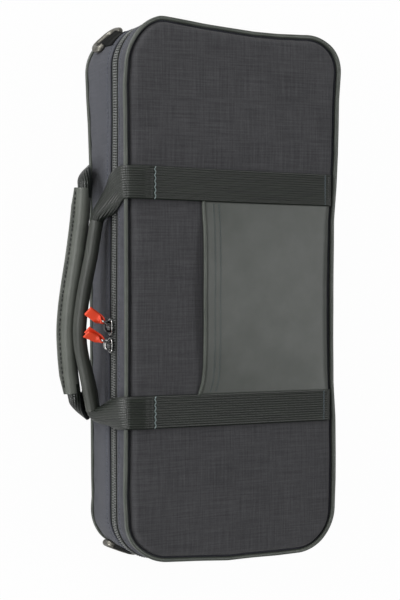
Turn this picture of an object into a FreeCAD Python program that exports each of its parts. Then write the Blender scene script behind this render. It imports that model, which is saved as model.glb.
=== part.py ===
import FreeCAD, Part
import math
import os
import Sketcher

# A zippered clarinet case lying on its base. X runs along the case, the handles are on the -Y side, the
# fabric hinge is on the +Y side and the lid is on top. The origin is the middle of the padded panel that
# the case rests on. "Upper" is the -X end and "lower" is the +X end, as the case stands
# when it is put on its lower end.

SIZES = (
    ("case_length", 392.0, "over the fabric sides"),
    ("case_width", 168.0, "over the fabric sides"),
    ("piping_spacing", 88.0, "from the base piping's centre to the lid piping's centre"),
    ("zipper_height", 66.1, "from the resting plane to the middle of the zipper"),
    ("handle_corner_radius", 30.0, "corners beside the handles"),
    ("hinge_corner_radius", 30.0, "corners beside the hinge"),
    ("piping_diameter", 4.4, "covered cord along both outer edges"),
    ("piping_proud", 1.5, "how far the cord stands out of the fabric side"),
    ("seam_clearance", 0.1, "between a cord and what it lies against"),
    ("fit_clearance", 0.3, "between pieces that slide or drop in"),
    ("overrun", 5.0, "how far a cut reaches past the solid"),
    ("gusset_thickness", 1.4, "woven side band with its backing"),
    ("zipper_band", 17.0, "height of the open band between the two side bands"),
    ("shell_wall", 5.0, "rigid side wall"),
    ("shell_plate", 1.6, "rigid floor of the base and ceiling of the lid"),
    ("rim_gap", 1.0, "between the rims of the closed shells"),
    ("back_panel_thickness", 4.6, "padded fabric under the base, above its straps"),
    ("back_panel_edge", 3.0, "rounding of its outer edge"),
    ("lid_panel_thickness", 5.7, "padded fabric on the lid"),
    ("lid_panel_edge", 4.2, "rounding of its outer edge"),
    ("tape_thickness", 0.8, "zipper tape and hinge fabric"),
    ("tape_overlap", 8.0, "how far the tape runs behind a side band"),
    ("coil_gap", 1.6, "between the two rows, where the teeth mesh"),
    ("coil_height", 3.2, "one row of teeth"),
    ("coil_thickness", 2.2, "one row of teeth"),
    ("zipper_end", 36.0, "from the hinge face to where the zipper ends"),
    ("bed_height", 53.0, "foam bed above the base's floor"),
    ("bed_rim", 4.0, "foam around the cavities"),
    ("bed_rib", 6.0, "foam between two cavities"),
    ("cavity_floor", 9.0, "foam under the joints"),
    ("lower_joint_length", 262.0, "cavity for the lower joint"),
    ("upper_joint_length", 236.0, "cavity for the upper joint"),
    ("joint_width", 34.0, "cavities for both joints, the barrel and the mouthpiece"),
    ("barrel_length", 72.0, "cavity for the barrel"),
    ("mouthpiece_length", 98.0, "cavity for the mouthpiece with its cap"),
    ("well_width", 26.0, "long well for small things"),
    ("well_length", 200.0, "long well for small things"),
    ("well_radius", 8.0, "corners of the wells"),
    ("joint_end_radius", 14.0, "corners of the joint cavities"),
    ("bell_width", 84.0, "well for the bell, across its rim"),
    ("bell_length", 112.0, "well for the bell, along its axis"),
    ("bell_radius", 25.0, "corners of the bell well"),
    ("lining_thickness", 4.0, "padding under the lid"),
    ("strap_width", 24.5, "webbing"),
    ("strap_thickness", 1.8, "webbing"),
    ("strap_spacing", 166.0, "between the middles of the two straps"),
    ("strap_seam_inset", 4.5, "from the hinge face to the strap's sewn end"),
    ("strap_wrap_angle", 70.0, "how far a strap turns around the edge, in degrees"),
    ("pocket_mouth", -23.0, "place of the pocket's open edge across the lid"),
    ("pocket_thickness", 1.5, "leather"),
    ("pocket_rise", 7.5, "how far the mouth gapes in the middle"),
    ("pocket_seam_rise", 1.0, "what is left of it at the seam"),
    ("binding_width", 3.4, "rolled edge of the mouth"),
    ("binding_thickness", 3.0, "rolled edge of the mouth"),
    ("binding_edge", 1.3, "rounding of the rolled edge"),
    ("grip_diameter", 11.5, "leather sleeve of a handle"),
    ("grip_fin", 3.0, "sewn edge that stands out of the sleeve"),
    ("grip_fin_thickness", 2.0, "two layers of leather"),
    ("grip_apex", 26.0, "place of a grip's furthest point along the case"),
    ("front_grip_height", 54.1, "middle of the lid's grip above the resting plane"),
    ("front_grip_reach", 23.4, "furthest point of the lid's grip from the fabric side"),
    ("front_grip_fin_angle", 112.0, "its sewn edge points this far below outward, in degrees"),
    ("front_upper_run", 80.0, "along the case from the furthest point to the upper end"),
    ("front_upper_drop", 13.4, "how far the upper end is drawn in"),
    ("front_lower_run", 59.0, "along the case from the furthest point to the lower end"),
    ("front_lower_drop", 9.8, "how far the lower end is drawn in"),
    ("rear_grip_height", 41.1, "middle of the base's grip above the resting plane"),
    ("rear_grip_reach", 29.2, "furthest point of the base's grip from the fabric side"),
    ("rear_grip_fin_angle", 17.0, "its sewn edge points this far below outward, in degrees"),
    ("rear_upper_run", 104.0, "along the case from the furthest point to the upper end"),
    ("rear_upper_drop", 13.4, "how far the upper end is drawn in"),
    ("rear_lower_run", 48.0, "along the case from the furthest point to the lower end"),
    ("rear_lower_drop", 6.4, "how far the lower end is drawn in"),
    ("folded_width", 10.5, "webbing folded in half where it enters a grip"),
    ("folded_thickness", 4.2, "webbing folded in half where it enters a grip"),
    ("knee_width", 13.0, "webbing where it bends towards the grip"),
    ("knee_thickness", 3.4, "webbing where it bends towards the grip"),
    ("knee_out", 6.0, "the bend lies this far past the grip's end"),
    ("knee_up", 9.0, "and this far towards the strap"),
    ("upper_slider_place", 24.5, "along the zipper"),
    ("lower_slider_place", 37.0, "along the zipper"),
    ("slider_length", 11.0, "along the zipper"),
    ("slider_width", 11.0, "across the zipper"),
    ("slider_nose", 7.0, "its narrower end"),
    ("slider_shoulder", 3.0, "length of the taper"),
    ("slider_outer_plate", 1.5, "plate over the teeth"),
    ("slider_inner_plate", 1.0, "plate under the tape"),
    ("slider_edge", 0.5, "rounding of the outer plate"),
    ("neck_length", 3.0, "wedge that joins the plates"),
    ("neck_thickness", 1.0, "wedge that joins the plates"),
    ("bridge_length", 6.4, "arch that holds the pull"),
    ("bridge_width", 3.2, "arch that holds the pull"),
    ("bridge_height", 3.6, "arch that holds the pull"),
    ("bridge_shoulder", 1.8, "rounding of the arch"),
    ("bail_wire", 1.6, "link between slider and tab"),
    ("bail_width", 9.4, "between its wire's middles"),
    ("bail_reach", 8.0, "between its two bars"),
    ("bail_corner", 1.1, "bend of its wire"),
    ("tab_leaf", 1.3, "leather of the pull tab"),
    ("tab_width", 7.0, "pull tab"),
    ("tab_reach", 13.5, "pull tab past the link"),
    ("tab_clearance", 0.2, "between the tab's fold and the link"),
    ("upper_pull_lean", 36.0, "from straight out towards the upper end, in degrees"),
    ("lower_pull_lean", 30.0, "from straight out towards the upper end, in degrees"),
    ("upper_tab_spread", 1.0, "each leaf from the middle, in degrees"),
    ("lower_tab_spread", 11.0, "each leaf from the middle, in degrees"),
    ("upper_ring_angle", 48.0, "place of a ring around its corner, from the handle side, in degrees"),
    ("lower_ring_angle", 66.0, "place of a ring around its corner, from the handle side, in degrees"),
    ("ring_height", 33.0, "its bar above the resting plane"),
    ("ring_wire", 3.6, "metal ring"),
    ("ring_width", 22.0, "between its wire's middles"),
    ("ring_drop", 15.0, "between its wire's middles"),
    ("ring_top_corner", 3.0, "bend beside its bar"),
    ("ring_bottom_corner", 8.0, "bends at its round end"),
    ("ring_tab_width", 15.0, "webbing tab that holds the ring"),
    ("ring_tab_length", 17.0, "tab above the bar"),
    ("ring_tab_thickness", 2.4, "doubled webbing"),
    ("ring_loop_thickness", 1.2, "webbing around the bar"),
    ("ring_throat", 7.0, "from the bar to where the tab lies flat"),
)

doc = FreeCAD.newDocument("clarinet_case")
case = doc.addObject("Spreadsheet::Sheet", "Case")
for row, (name, number, note) in enumerate(SIZES, start=1):
    case.set(f"A{row}", name)
    case.set(f"B{row}", str(number))
    case.setAlias(f"B{row}", name)
    case.set(f"C{row}", note)
doc.recompute()

# Levels above the resting plane, worked out from the sizes
BACK_FACE = "Case.strap_thickness"
BASE_SEAT = "(Case.strap_thickness + Case.back_panel_thickness)"
BASE_PIPING = f"({BASE_SEAT} - Case.seam_clearance - Case.piping_diameter / 2)"
LID_PIPING = f"({BASE_PIPING} + Case.piping_spacing)"
LID_SEAT = f"({LID_PIPING} - Case.piping_diameter / 2 - Case.seam_clearance)"
LID_FACE = f"({LID_SEAT} + Case.lid_panel_thickness)"
BAND_BOTTOM = "(Case.zipper_height - Case.zipper_band / 2)"
BAND_TOP = "(Case.zipper_height + Case.zipper_band / 2)"
TAPE_BOTTOM = f"({BAND_BOTTOM} - Case.tape_overlap)"
TAPE_TOP = f"({BAND_TOP} + Case.tape_overlap)"
COIL_BOTTOM = "(Case.zipper_height - Case.coil_gap / 2)"
COIL_TOP = "(Case.zipper_height + Case.coil_gap / 2)"
BASE_RIM = "(Case.zipper_height - Case.rim_gap / 2)"
LID_RIM = "(Case.zipper_height + Case.rim_gap / 2)"
BASE_FLOOR = f"({BASE_SEAT} + Case.shell_plate)"
LID_CEILING = f"({LID_SEAT} - Case.shell_plate)"
BED_TOP = f"({BASE_FLOOR} + Case.bed_height)"

# Depths below the fabric's outer face
PIPING_INSET = "(Case.piping_diameter / 2 - Case.piping_proud)"
PANEL_INSET = "(Case.piping_diameter - Case.piping_proud + Case.seam_clearance)"
SHELL_INSET = "Case.gusset_thickness"
TAPE_BACK = "(Case.gusset_thickness + Case.tape_thickness)"
REBATE_INSET = f"({TAPE_BACK} + Case.slider_inner_plate + 2 * Case.fit_clearance)"
LINING_INSET = "(Case.gusset_thickness + Case.shell_wall)"
BED_INSET = f"({LINING_INSET} + Case.fit_clearance)"

# Places across and along the case
HANDLE_FACE = "(0 - Case.case_width / 2)"
HINGE_FACE = "(Case.case_width / 2)"
ZIPPER_END = f"({HINGE_FACE} - Case.zipper_end)"
STRAP_SEAM = f"({HINGE_FACE} - Case.strap_seam_inset)"
PIPING_LINE = f"({HANDLE_FACE} + {PIPING_INSET})"
STRAP_PLACES = {"upper": "(0 - Case.strap_spacing / 2)", "lower": "(Case.strap_spacing / 2)"}


def value(expression):
    """The number that a size expression gives now."""
    return float(case.evalExpression(expression))


def piece(name):
    """An empty body that becomes one piece of the case."""
    body = doc.addObject("PartDesign::Body", name)
    body.Label = name
    return body


def sketch_on(body, plane, name, offset="0"):
    """A sketch on one of the body's origin planes, moved along the plane's normal by offset."""
    sketch = body.newObject("Sketcher::SketchObject", name)
    support = next(item for item in body.Origin.OriginFeatures if item.Role == plane)
    sketch.AttachmentSupport = (support, [""])
    sketch.MapMode = "FlatFace"
    sketch.setExpression("AttachmentOffset.Base.z", offset)
    return sketch


def constrain(sketch, kind, *details, expression=None):
    """Adds one constraint and binds it to a size expression where one is given."""
    if expression is None:
        sketch.addConstraint(Sketcher.Constraint(kind, *details))
        return
    number = value(expression)
    index = sketch.addConstraint(Sketcher.Constraint(kind, *details, number))
    sketch.setExpression(f"Constraints[{index}]", expression)


def add_rounded(sketch, left, right, front, rear, front_radius, rear_radius):
    """A closed rectangle with round corners, with its own radius on the front pair and the rear pair."""
    x0, x1, y0, y1 = (value(side) for side in (left, right, front, rear))
    a, b = value(front_radius), value(rear_radius)
    first = sketch.GeometryCount
    up = FreeCAD.Vector(0, 0, 1)
    quarter = math.pi / 2

    def line(xa, ya, xb, yb):
        sketch.addGeometry(Part.LineSegment(FreeCAD.Vector(xa, ya, 0), FreeCAD.Vector(xb, yb, 0)))

    def corner(x, y, radius, turn):
        circle = Part.Circle(FreeCAD.Vector(x, y, 0), up, radius)
        sketch.addGeometry(Part.ArcOfCircle(circle, turn * quarter, (turn + 1) * quarter))

    line(x0 + a, y0, x1 - a, y0)
    corner(x1 - a, y0 + a, a, 3)
    line(x1, y0 + a, x1, y1 - b)
    corner(x1 - b, y1 - b, b, 0)
    line(x1 - b, y1, x0 + b, y1)
    corner(x0 + b, y1 - b, b, 1)
    line(x0, y1 - b, x0, y0 + a)
    corner(x0 + a, y0 + a, a, 2)
    for step in range(8):
        constrain(sketch, "Tangent", first + step, 2, first + (step + 1) % 8, 1)
    for step, kind in ((0, "Horizontal"), (2, "Vertical"), (4, "Horizontal"), (6, "Vertical")):
        constrain(sketch, kind, first + step)
    for step, kind, side in ((0, "DistanceY", front), (2, "DistanceX", right),
                             (4, "DistanceY", rear), (6, "DistanceX", left)):
        constrain(sketch, kind, -1, 1, first + step, 1, expression=side)
    for step, radius in ((1, front_radius), (3, rear_radius), (5, rear_radius), (7, front_radius)):
        constrain(sketch, "Radius", first + step, expression=radius)


def add_outline(sketch, inset):
    """The case's own outline, drawn in by inset from the fabric's outer face."""
    half_length = f"(Case.case_length / 2 - {inset})"
    half_width = f"(Case.case_width / 2 - {inset})"
    add_rounded(sketch, f"(0 - {half_length})", half_length, f"(0 - {half_width})", half_width,
                f"(Case.handle_corner_radius - {inset})", f"(Case.hinge_corner_radius - {inset})")


def add_path(sketch, points, bends=None, closed=True):
    """Straight runs and arcs through points given as pairs of size expressions.

    bends gives the radius of each run that is an arc, by its number, with True where it turns clockwise.
    """
    bends = bends or {}
    first = sketch.GeometryCount
    spots = [FreeCAD.Vector(value(x), value(y), 0) for x, y in points]
    runs = len(points) if closed else len(points) - 1
    ends = []
    for run in range(runs):
        start = spots[run]
        finish = spots[(run + 1) % len(spots)]
        if run not in bends:
            sketch.addGeometry(Part.LineSegment(start, finish))
            ends.append((1, 2))
            continue
        radius, clockwise = bends[run]
        if clockwise:
            start, finish = finish, start
        chord = finish - start
        rise = math.sqrt(max(value(radius) ** 2 - chord.Length ** 2 / 4, 0))
        centre = (start + finish) / 2 + FreeCAD.Vector(-chord.y, chord.x, 0).normalize() * rise
        circle = Part.Circle(centre, FreeCAD.Vector(0, 0, 1), value(radius))
        angles = [math.atan2(spot.y - centre.y, spot.x - centre.x) for spot in (start, finish)]
        sketch.addGeometry(Part.ArcOfCircle(circle, angles[0], angles[1]))
        ends.append((2, 1) if clockwise else (1, 2))
    for run in range(runs):
        follower = (run + 1) % runs
        if closed or run + 1 < runs:
            constrain(sketch, "Coincident", first + run, ends[run][1], first + follower, ends[follower][0])
        x, y = points[run]
        constrain(sketch, "DistanceX", -1, 1, first + run, ends[run][0], expression=x)
        constrain(sketch, "DistanceY", -1, 1, first + run, ends[run][0], expression=y)
    if not closed:
        x, y = points[-1]
        constrain(sketch, "DistanceX", -1, 1, first + runs - 1, ends[-1][1], expression=x)
        constrain(sketch, "DistanceY", -1, 1, first + runs - 1, ends[-1][1], expression=y)
    for run, (radius, clockwise) in bends.items():
        constrain(sketch, "Radius", first + run, expression=radius)


def add_circle(sketch, x, y, diameter):
    """A full circle at a place given by size expressions."""
    centre = FreeCAD.Vector(value(x), value(y), 0)
    index = sketch.addGeometry(Part.Circle(centre, FreeCAD.Vector(0, 0, 1), value(diameter) / 2))
    constrain(sketch, "DistanceX", -1, 1, index, 3, expression=x)
    constrain(sketch, "DistanceY", -1, 1, index, 3, expression=y)
    constrain(sketch, "Diameter", index, expression=diameter)


def pad(body, sketch, length, name, side="One side", reverse=False):
    """Grows a sketch into a solid."""
    feature = body.newObject("PartDesign::Pad", name)
    feature.Profile = sketch
    feature.setExpression("Length", length)
    feature.SideType = side
    feature.Reversed = reverse
    body.Tip = feature
    return feature


def pocket(body, sketch, length, name, reverse=False):
    """Cuts a sketch out of the body, against the sketch's normal unless reversed."""
    feature = body.newObject("PartDesign::Pocket", name)
    feature.Profile = sketch
    feature.setExpression("Length", length)
    feature.Reversed = reverse
    body.Tip = feature
    return feature


def pipe(body, profile, spine, name):
    """Sweeps a profile along a spine."""
    feature = body.newObject("PartDesign::AdditivePipe", name)
    feature.Profile = profile
    feature.Spine = spine
    body.Tip = feature
    return feature


def round_edges(body, base, level, radius, name, axis="z", shortest="0"):
    """Rounds the edges of the base feature that lie wholly at one level and are long enough."""
    doc.recompute()
    height = value(level)
    names = []
    for number, edge in enumerate(base.Shape.Edges, start=1):
        box = edge.BoundBox
        low, high = {"y": (box.YMin, box.YMax), "z": (box.ZMin, box.ZMax)}[axis]
        if edge.Length < value(shortest):
            continue
        if abs(low - height) < CLOSE and abs(high - height) < CLOSE:
            names.append(f"Edge{number}")
    feature = body.newObject("PartDesign::Fillet", name)
    feature.Base = (base, names)
    feature.setExpression("Radius", radius)
    body.Tip = feature
    return feature


CLOSE = value("Case.seam_clearance") / 10


def band(name, outer, inner, bottom, top):
    """A closed band that follows the case's outline between two depths and two levels."""
    body = piece(name)
    sketch = sketch_on(body, "XY_Plane", f"{name}_outline", bottom)
    add_outline(sketch, outer)
    add_outline(sketch, inner)
    pad(body, sketch, f"{top} - {bottom}", f"{name}_pad")
    return body


def cut_behind(body, name, start, finish, bottom, top):
    """Cuts away what lies between two places across the case."""
    side = "(Case.case_length / 2 + Case.overrun)"
    sketch = sketch_on(body, "XY_Plane", f"{name}_cut", f"{bottom} - Case.overrun")
    add_path(sketch, ((f"0 - {side}", start), (side, start), (side, finish), (f"0 - {side}", finish)))
    pocket(body, sketch, f"{top} - {bottom} + 2 * Case.overrun", f"{name}_opening", reverse=True)


def zipper_strip(name, outer, inner, bottom, top):
    """A strip along the handle side and both ends, up to where the zipper ends."""
    body = band(name, outer, inner, bottom, top)
    cut_behind(body, name, ZIPPER_END, f"{HINGE_FACE} + Case.overrun", bottom, top)


def fabric_hinge():
    """The fabric that joins base and lid behind the zipper's ends."""
    body = band("fabric_hinge", SHELL_INSET, TAPE_BACK, TAPE_BOTTOM, TAPE_TOP)
    cut_behind(body, "fabric_hinge", f"{HANDLE_FACE} - Case.overrun",
               f"{ZIPPER_END} + Case.seam_clearance", TAPE_BOTTOM, TAPE_TOP)


def shell(name, seat, rim, floor, rebate_start, upward):
    """A rigid tray with a rebate in its rim, where the zipper's tape and sliders run."""
    body = piece(name)
    low, high = (seat, rim) if upward else (rim, seat)
    block = sketch_on(body, "XY_Plane", f"{name}_block", low)
    add_outline(block, SHELL_INSET)
    pad(body, block, f"{high} - {low}", f"{name}_pad")
    inside = sketch_on(body, "XY_Plane", f"{name}_inside", rim)
    add_outline(inside, LINING_INSET)
    depth = f"{rim} - {floor}" if upward else f"{floor} - {rim}"
    pocket(body, inside, depth, f"{name}_hollow", reverse=not upward)
    rebate = sketch_on(body, "XY_Plane", f"{name}_rebate", rim)
    add_outline(rebate, "(0 - Case.overrun)")
    add_outline(rebate, REBATE_INSET)
    depth = f"{rim} - {rebate_start}" if upward else f"{rebate_start} - {rim}"
    pocket(body, rebate, depth, f"{name}_step", reverse=not upward)


def padded_panel(name, bottom, top, edge_level, edge_radius):
    """A fabric panel over foam with a round outer edge, inside the piping."""
    body = piece(name)
    sketch = sketch_on(body, "XY_Plane", f"{name}_outline", bottom)
    add_outline(sketch, PANEL_INSET)
    plate = pad(body, sketch, f"{top} - {bottom}", f"{name}_pad")
    round_edges(body, plate, edge_level, edge_radius, f"{name}_edge")
    return body


def strap_channels(body):
    """Sewn straps press the padding in until they lie flush with the panel's face."""
    for end, place in STRAP_PLACES.items():
        half = "(Case.strap_width / 2 + Case.seam_clearance)"
        front = f"({HANDLE_FACE} - Case.overrun)"
        rear = f"({STRAP_SEAM} + Case.seam_clearance)"
        sketch = sketch_on(body, "XY_Plane", f"channel_{end}", "0 - Case.overrun")
        add_path(sketch, ((f"{place} - {half}", front), (f"{place} + {half}", front),
                          (f"{place} + {half}", rear), (f"{place} - {half}", rear)))
        pocket(body, sketch, "Case.overrun + Case.strap_thickness", f"channel_{end}_cut", reverse=True)


def piping(name, level):
    """The covered cord along an outer edge."""
    body = piece(name)
    spine = sketch_on(body, "XY_Plane", f"{name}_run", level)
    add_outline(spine, PIPING_INSET)
    start = "(0 - Case.case_length / 2 + Case.handle_corner_radius)"
    profile = sketch_on(body, "YZ_Plane", f"{name}_section", start)
    add_circle(profile, PIPING_LINE, level, "Case.piping_diameter")
    pipe(body, profile, spine, f"{name}_sweep")


def instrument_bed():
    """The foam bed, with a cavity for each part of the instrument and wells for small things."""
    body = piece("instrument_bed")
    block = sketch_on(body, "XY_Plane", "bed_block", BASE_FLOOR)
    add_outline(block, BED_INSET)
    pad(body, block, "Case.bed_height", "bed_pad")
    end = f"(Case.case_length / 2 - {BED_INSET} - Case.bed_rim)"
    side = f"(Case.case_width / 2 - {BED_INSET} - Case.bed_rim)"
    rib = "Case.bed_rib"
    well_end = f"(0 - {end} - Case.bed_rim + Case.handle_corner_radius - {BED_INSET})"
    row_a = f"(0 - {side} + Case.well_width + {rib})"
    row_b = f"({row_a} + Case.joint_width + {rib})"
    row_c = f"({row_b} + Case.joint_width + {rib})"
    barrel_end = f"(0 - {end} + Case.barrel_length)"
    bell_start = f"({end} - Case.bell_width)"
    joint_depth = "Case.bed_height - Case.cavity_floor"
    joint = "Case.joint_end_radius"
    well = "Case.well_radius"
    cavities = (
        ("small_well", well_end, f"({well_end} + Case.well_length)", f"(0 - {side})",
         f"(0 - {side} + Case.well_width)", well, joint_depth),
        ("barrel", f"(0 - {end})", barrel_end, row_a, f"({row_a} + Case.joint_width)", joint, joint_depth),
        ("mouthpiece", f"({barrel_end} + {rib})", f"({barrel_end} + {rib} + Case.mouthpiece_length)", row_a,
         f"({row_a} + Case.joint_width)", joint, joint_depth),
        ("reed_case", f"({barrel_end} + 2 * {rib} + Case.mouthpiece_length)", f"({bell_start} - {rib})", row_a,
         f"({row_a} + Case.joint_width)", well, joint_depth),
        ("upper_joint", f"(0 - {end})", f"(0 - {end} + Case.upper_joint_length)", row_b,
         f"({row_b} + Case.joint_width)", joint, joint_depth),
        ("lower_joint", f"(0 - {end})", f"(0 - {end} + Case.lower_joint_length)", row_c, side, joint,
         joint_depth),
        ("bell", bell_start, end, f"(0 - {side})", f"(0 - {side} + Case.bell_length)", "Case.bell_radius",
         "Case.bed_height + Case.overrun"),
        ("reed_well", f"(0 - {end} + Case.lower_joint_length + {rib})", end,
         f"(0 - {side} + Case.bell_length + {rib})", side, joint, joint_depth),
    )
    for name, left, right, front, rear, radius, depth in cavities:
        sketch = sketch_on(body, "XY_Plane", f"{name}_outline", BED_TOP)
        add_rounded(sketch, left, right, front, rear, radius, radius)
        pocket(body, sketch, depth, f"{name}_cavity")


def lid_lining():
    """Padding under the lid's ceiling, open above the bell."""
    body = piece("lid_lining")
    bottom = f"({LID_CEILING} - Case.lining_thickness)"
    sketch = sketch_on(body, "XY_Plane", "lining_outline", bottom)
    add_outline(sketch, BED_INSET)
    end = f"(Case.case_length / 2 - {BED_INSET} - Case.bed_rim)"
    side = f"(Case.case_width / 2 - {BED_INSET} - Case.bed_rim)"
    add_rounded(sketch, f"({end} - Case.bell_width)", end, f"(0 - {side})",
                f"(0 - {side} + Case.bell_length)", "Case.bell_radius", "Case.bell_radius")
    pad(body, sketch, "Case.lining_thickness", "lining_pad")


def sewn_strap(name, place, face, centre, above):
    """Webbing sewn flat across a panel, and turned around the edge on the handle side."""
    body = piece(name)
    sketch = sketch_on(body, "YZ_Plane", f"{name}_side", place)
    sign = "+" if above else "-"
    inner = f"({face} - {centre})" if above else f"({centre} - {face})"
    outer = f"({inner} + Case.strap_thickness)"
    sine = "sin(Case.strap_wrap_angle * 1 deg)"
    cosine = "cos(Case.strap_wrap_angle * 1 deg)"
    points = (
        (STRAP_SEAM, face),
        (PIPING_LINE, face),
        (f"{PIPING_LINE} - {inner} * {sine}", f"{centre} {sign} {inner} * {cosine}"),
        (f"{PIPING_LINE} - {outer} * {sine}", f"{centre} {sign} {outer} * {cosine}"),
        (PIPING_LINE, f"{centre} {sign} {outer}"),
        (STRAP_SEAM, f"{centre} {sign} {outer}"),
    )
    add_path(sketch, points, {1: (inner, not above), 3: (outer, above)})
    pad(body, sketch, "Case.strap_width", f"{name}_pad", side="Symmetric")


def pocket_arch(sketch, rise, thickness):
    """An arched strip between the two straps, on the lid's face."""
    half = "(Case.strap_spacing / 2 - Case.strap_width / 2 - Case.seam_clearance)"
    foot = f"({LID_FACE} + {thickness})"
    radius = f"(({half} ^ 2 + {rise} ^ 2) / (2 * {rise}))"
    add_path(sketch,
             ((f"(0 - {half})", LID_FACE), ("0", f"({LID_FACE} + {rise})"), (half, LID_FACE), (half, foot),
              ("0", f"({foot} + {rise})"), (f"(0 - {half})", foot)),
             {0: (radius, True), 1: (radius, True), 3: (radius, False), 4: (radius, False)})


def lid_pocket():
    """The leather pocket between the straps: open towards the handles, sewn down at the hinge side."""
    body = piece("pocket_panel")
    mouth = sketch_on(body, "XZ_Plane", "pocket_mouth_section", "(0 - Case.pocket_mouth)")
    pocket_arch(mouth, "Case.pocket_rise", "Case.pocket_thickness")
    seam = sketch_on(body, "XZ_Plane", "pocket_seam_section", f"(0 - {STRAP_SEAM})")
    pocket_arch(seam, "Case.pocket_seam_rise", "Case.pocket_thickness")
    loft = body.newObject("PartDesign::AdditiveLoft", "pocket_loft")
    loft.Profile = mouth
    loft.Sections = [seam]
    loft.Ruled = True
    body.Tip = loft
    edge = piece("pocket_binding")
    section = sketch_on(edge, "XZ_Plane", "binding_section", "(0 - Case.pocket_mouth)")
    pocket_arch(section, "Case.pocket_rise", "Case.binding_thickness")
    strip = pad(edge, section, "Case.binding_width", "binding_pad")
    round_edges(edge, strip, "Case.pocket_mouth - Case.binding_width", "Case.binding_edge", "binding_round",
                axis="y", shortest="Case.strap_width")


def grip(side):
    """A bowed leather sleeve with a sewn edge, drawn out from its furthest point to both ends."""
    body = piece(f"{side}_handle_grip")
    reach = f"(Case.case_width / 2 + Case.{side}_grip_reach)"
    height = f"Case.{side}_grip_height"
    radius = "(Case.grip_diameter / 2)"
    fin = "(Case.grip_fin_thickness / 2)"
    root = f"sqrt({radius} ^ 2 - {fin} ^ 2)"
    tip = f"(0 - {radius} - Case.grip_fin)"
    for end, sign in (("upper", "-"), ("lower", "+")):
        run = f"Case.{side}_{end}_run"
        drop = f"Case.{side}_{end}_drop"
        bow = f"(({run} ^ 2 + {drop} ^ 2) / (2 * {drop}))"
        spine = sketch_on(body, "XY_Plane", f"{side}_{end}_bow", height)
        add_path(spine, (("Case.grip_apex", f"(0 - {reach})"),
                         (f"Case.grip_apex {sign} {run}", f"{drop} - {reach}")),
                 {0: (bow, end == "upper")}, closed=False)
        profile = sketch_on(body, "YZ_Plane", f"{side}_{end}_section", "Case.grip_apex")
        profile.setExpression("AttachmentOffset.Base.x", f"0 - {reach}")
        profile.setExpression("AttachmentOffset.Base.y", height)
        profile.setExpression("AttachmentOffset.Rotation.Angle", f"Case.{side}_grip_fin_angle * 1 deg")
        add_path(profile, ((f"0 - {root}", fin), (radius, "0"), (f"0 - {root}", f"0 - {fin}"),
                           (tip, f"0 - {fin}"), (tip, fin)),
                 {0: (radius, True), 1: (radius, True)})
        pipe(body, profile, spine, f"{side}_{end}_sleeve")


def rectangle(centre, across, thick, width, thickness):
    """A closed wire around a centre, for a section of folded webbing."""
    a = across * (width / 2)
    b = thick * (thickness / 2)
    corners = [centre - a - b, centre + a - b, centre + a + b, centre - a + b]
    return Part.makePolygon(corners + corners[:1])


def handle_webbing(side, centre, face, above):
    """The two free stretches of webbing between a panel's straps and its grip."""
    sign = 1 if above else -1
    inner = sign * (value(face) - value(centre))
    middle = inner + value("Case.strap_thickness") / 2
    wrap = math.radians(value("Case.strap_wrap_angle"))
    outward = FreeCAD.Vector(0, -math.sin(wrap), sign * math.cos(wrap))
    along = FreeCAD.Vector(1, 0, 0)
    stretches = []
    for end, towards in (("upper", -1), ("lower", 1)):
        edge = FreeCAD.Vector(value(STRAP_PLACES[end]), value(PIPING_LINE), value(centre))
        start = rectangle(edge + outward * middle, along, outward, value("Case.strap_width"),
                          value("Case.strap_thickness"))
        run = value(f"Case.{side}_{end}_run")
        drop = value(f"Case.{side}_{end}_drop")
        reach = value(f"Case.case_width / 2 + Case.{side}_grip_reach")
        turn = 2 * math.atan2(drop, run)
        grip_end = FreeCAD.Vector(value("Case.grip_apex") + towards * run, drop - reach,
                                  value(f"Case.{side}_grip_height"))
        raised = FreeCAD.Vector(0, 0, -sign * towards)
        outside = FreeCAD.Vector(towards * math.sin(turn), -math.cos(turn), 0)
        knee = grip_end + along * (towards * value("Case.knee_out"))
        knee = knee + FreeCAD.Vector(0, 0, sign * value("Case.knee_up"))
        slanted = (along + raised).normalize()
        bend = rectangle(knee, slanted, (outward + outside).normalize(), value("Case.knee_width"),
                         value("Case.knee_thickness"))
        finish = rectangle(grip_end, raised, outside, value("Case.folded_width"),
                           value("Case.folded_thickness"))
        stretches.append(Part.makeLoft([start, bend, finish], True, True))
    webbing = doc.addObject("Part::Feature", f"{side}_handle_webbing")
    webbing.Label = f"{side}_handle_webbing"
    webbing.Shape = Part.makeCompound(stretches)


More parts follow.
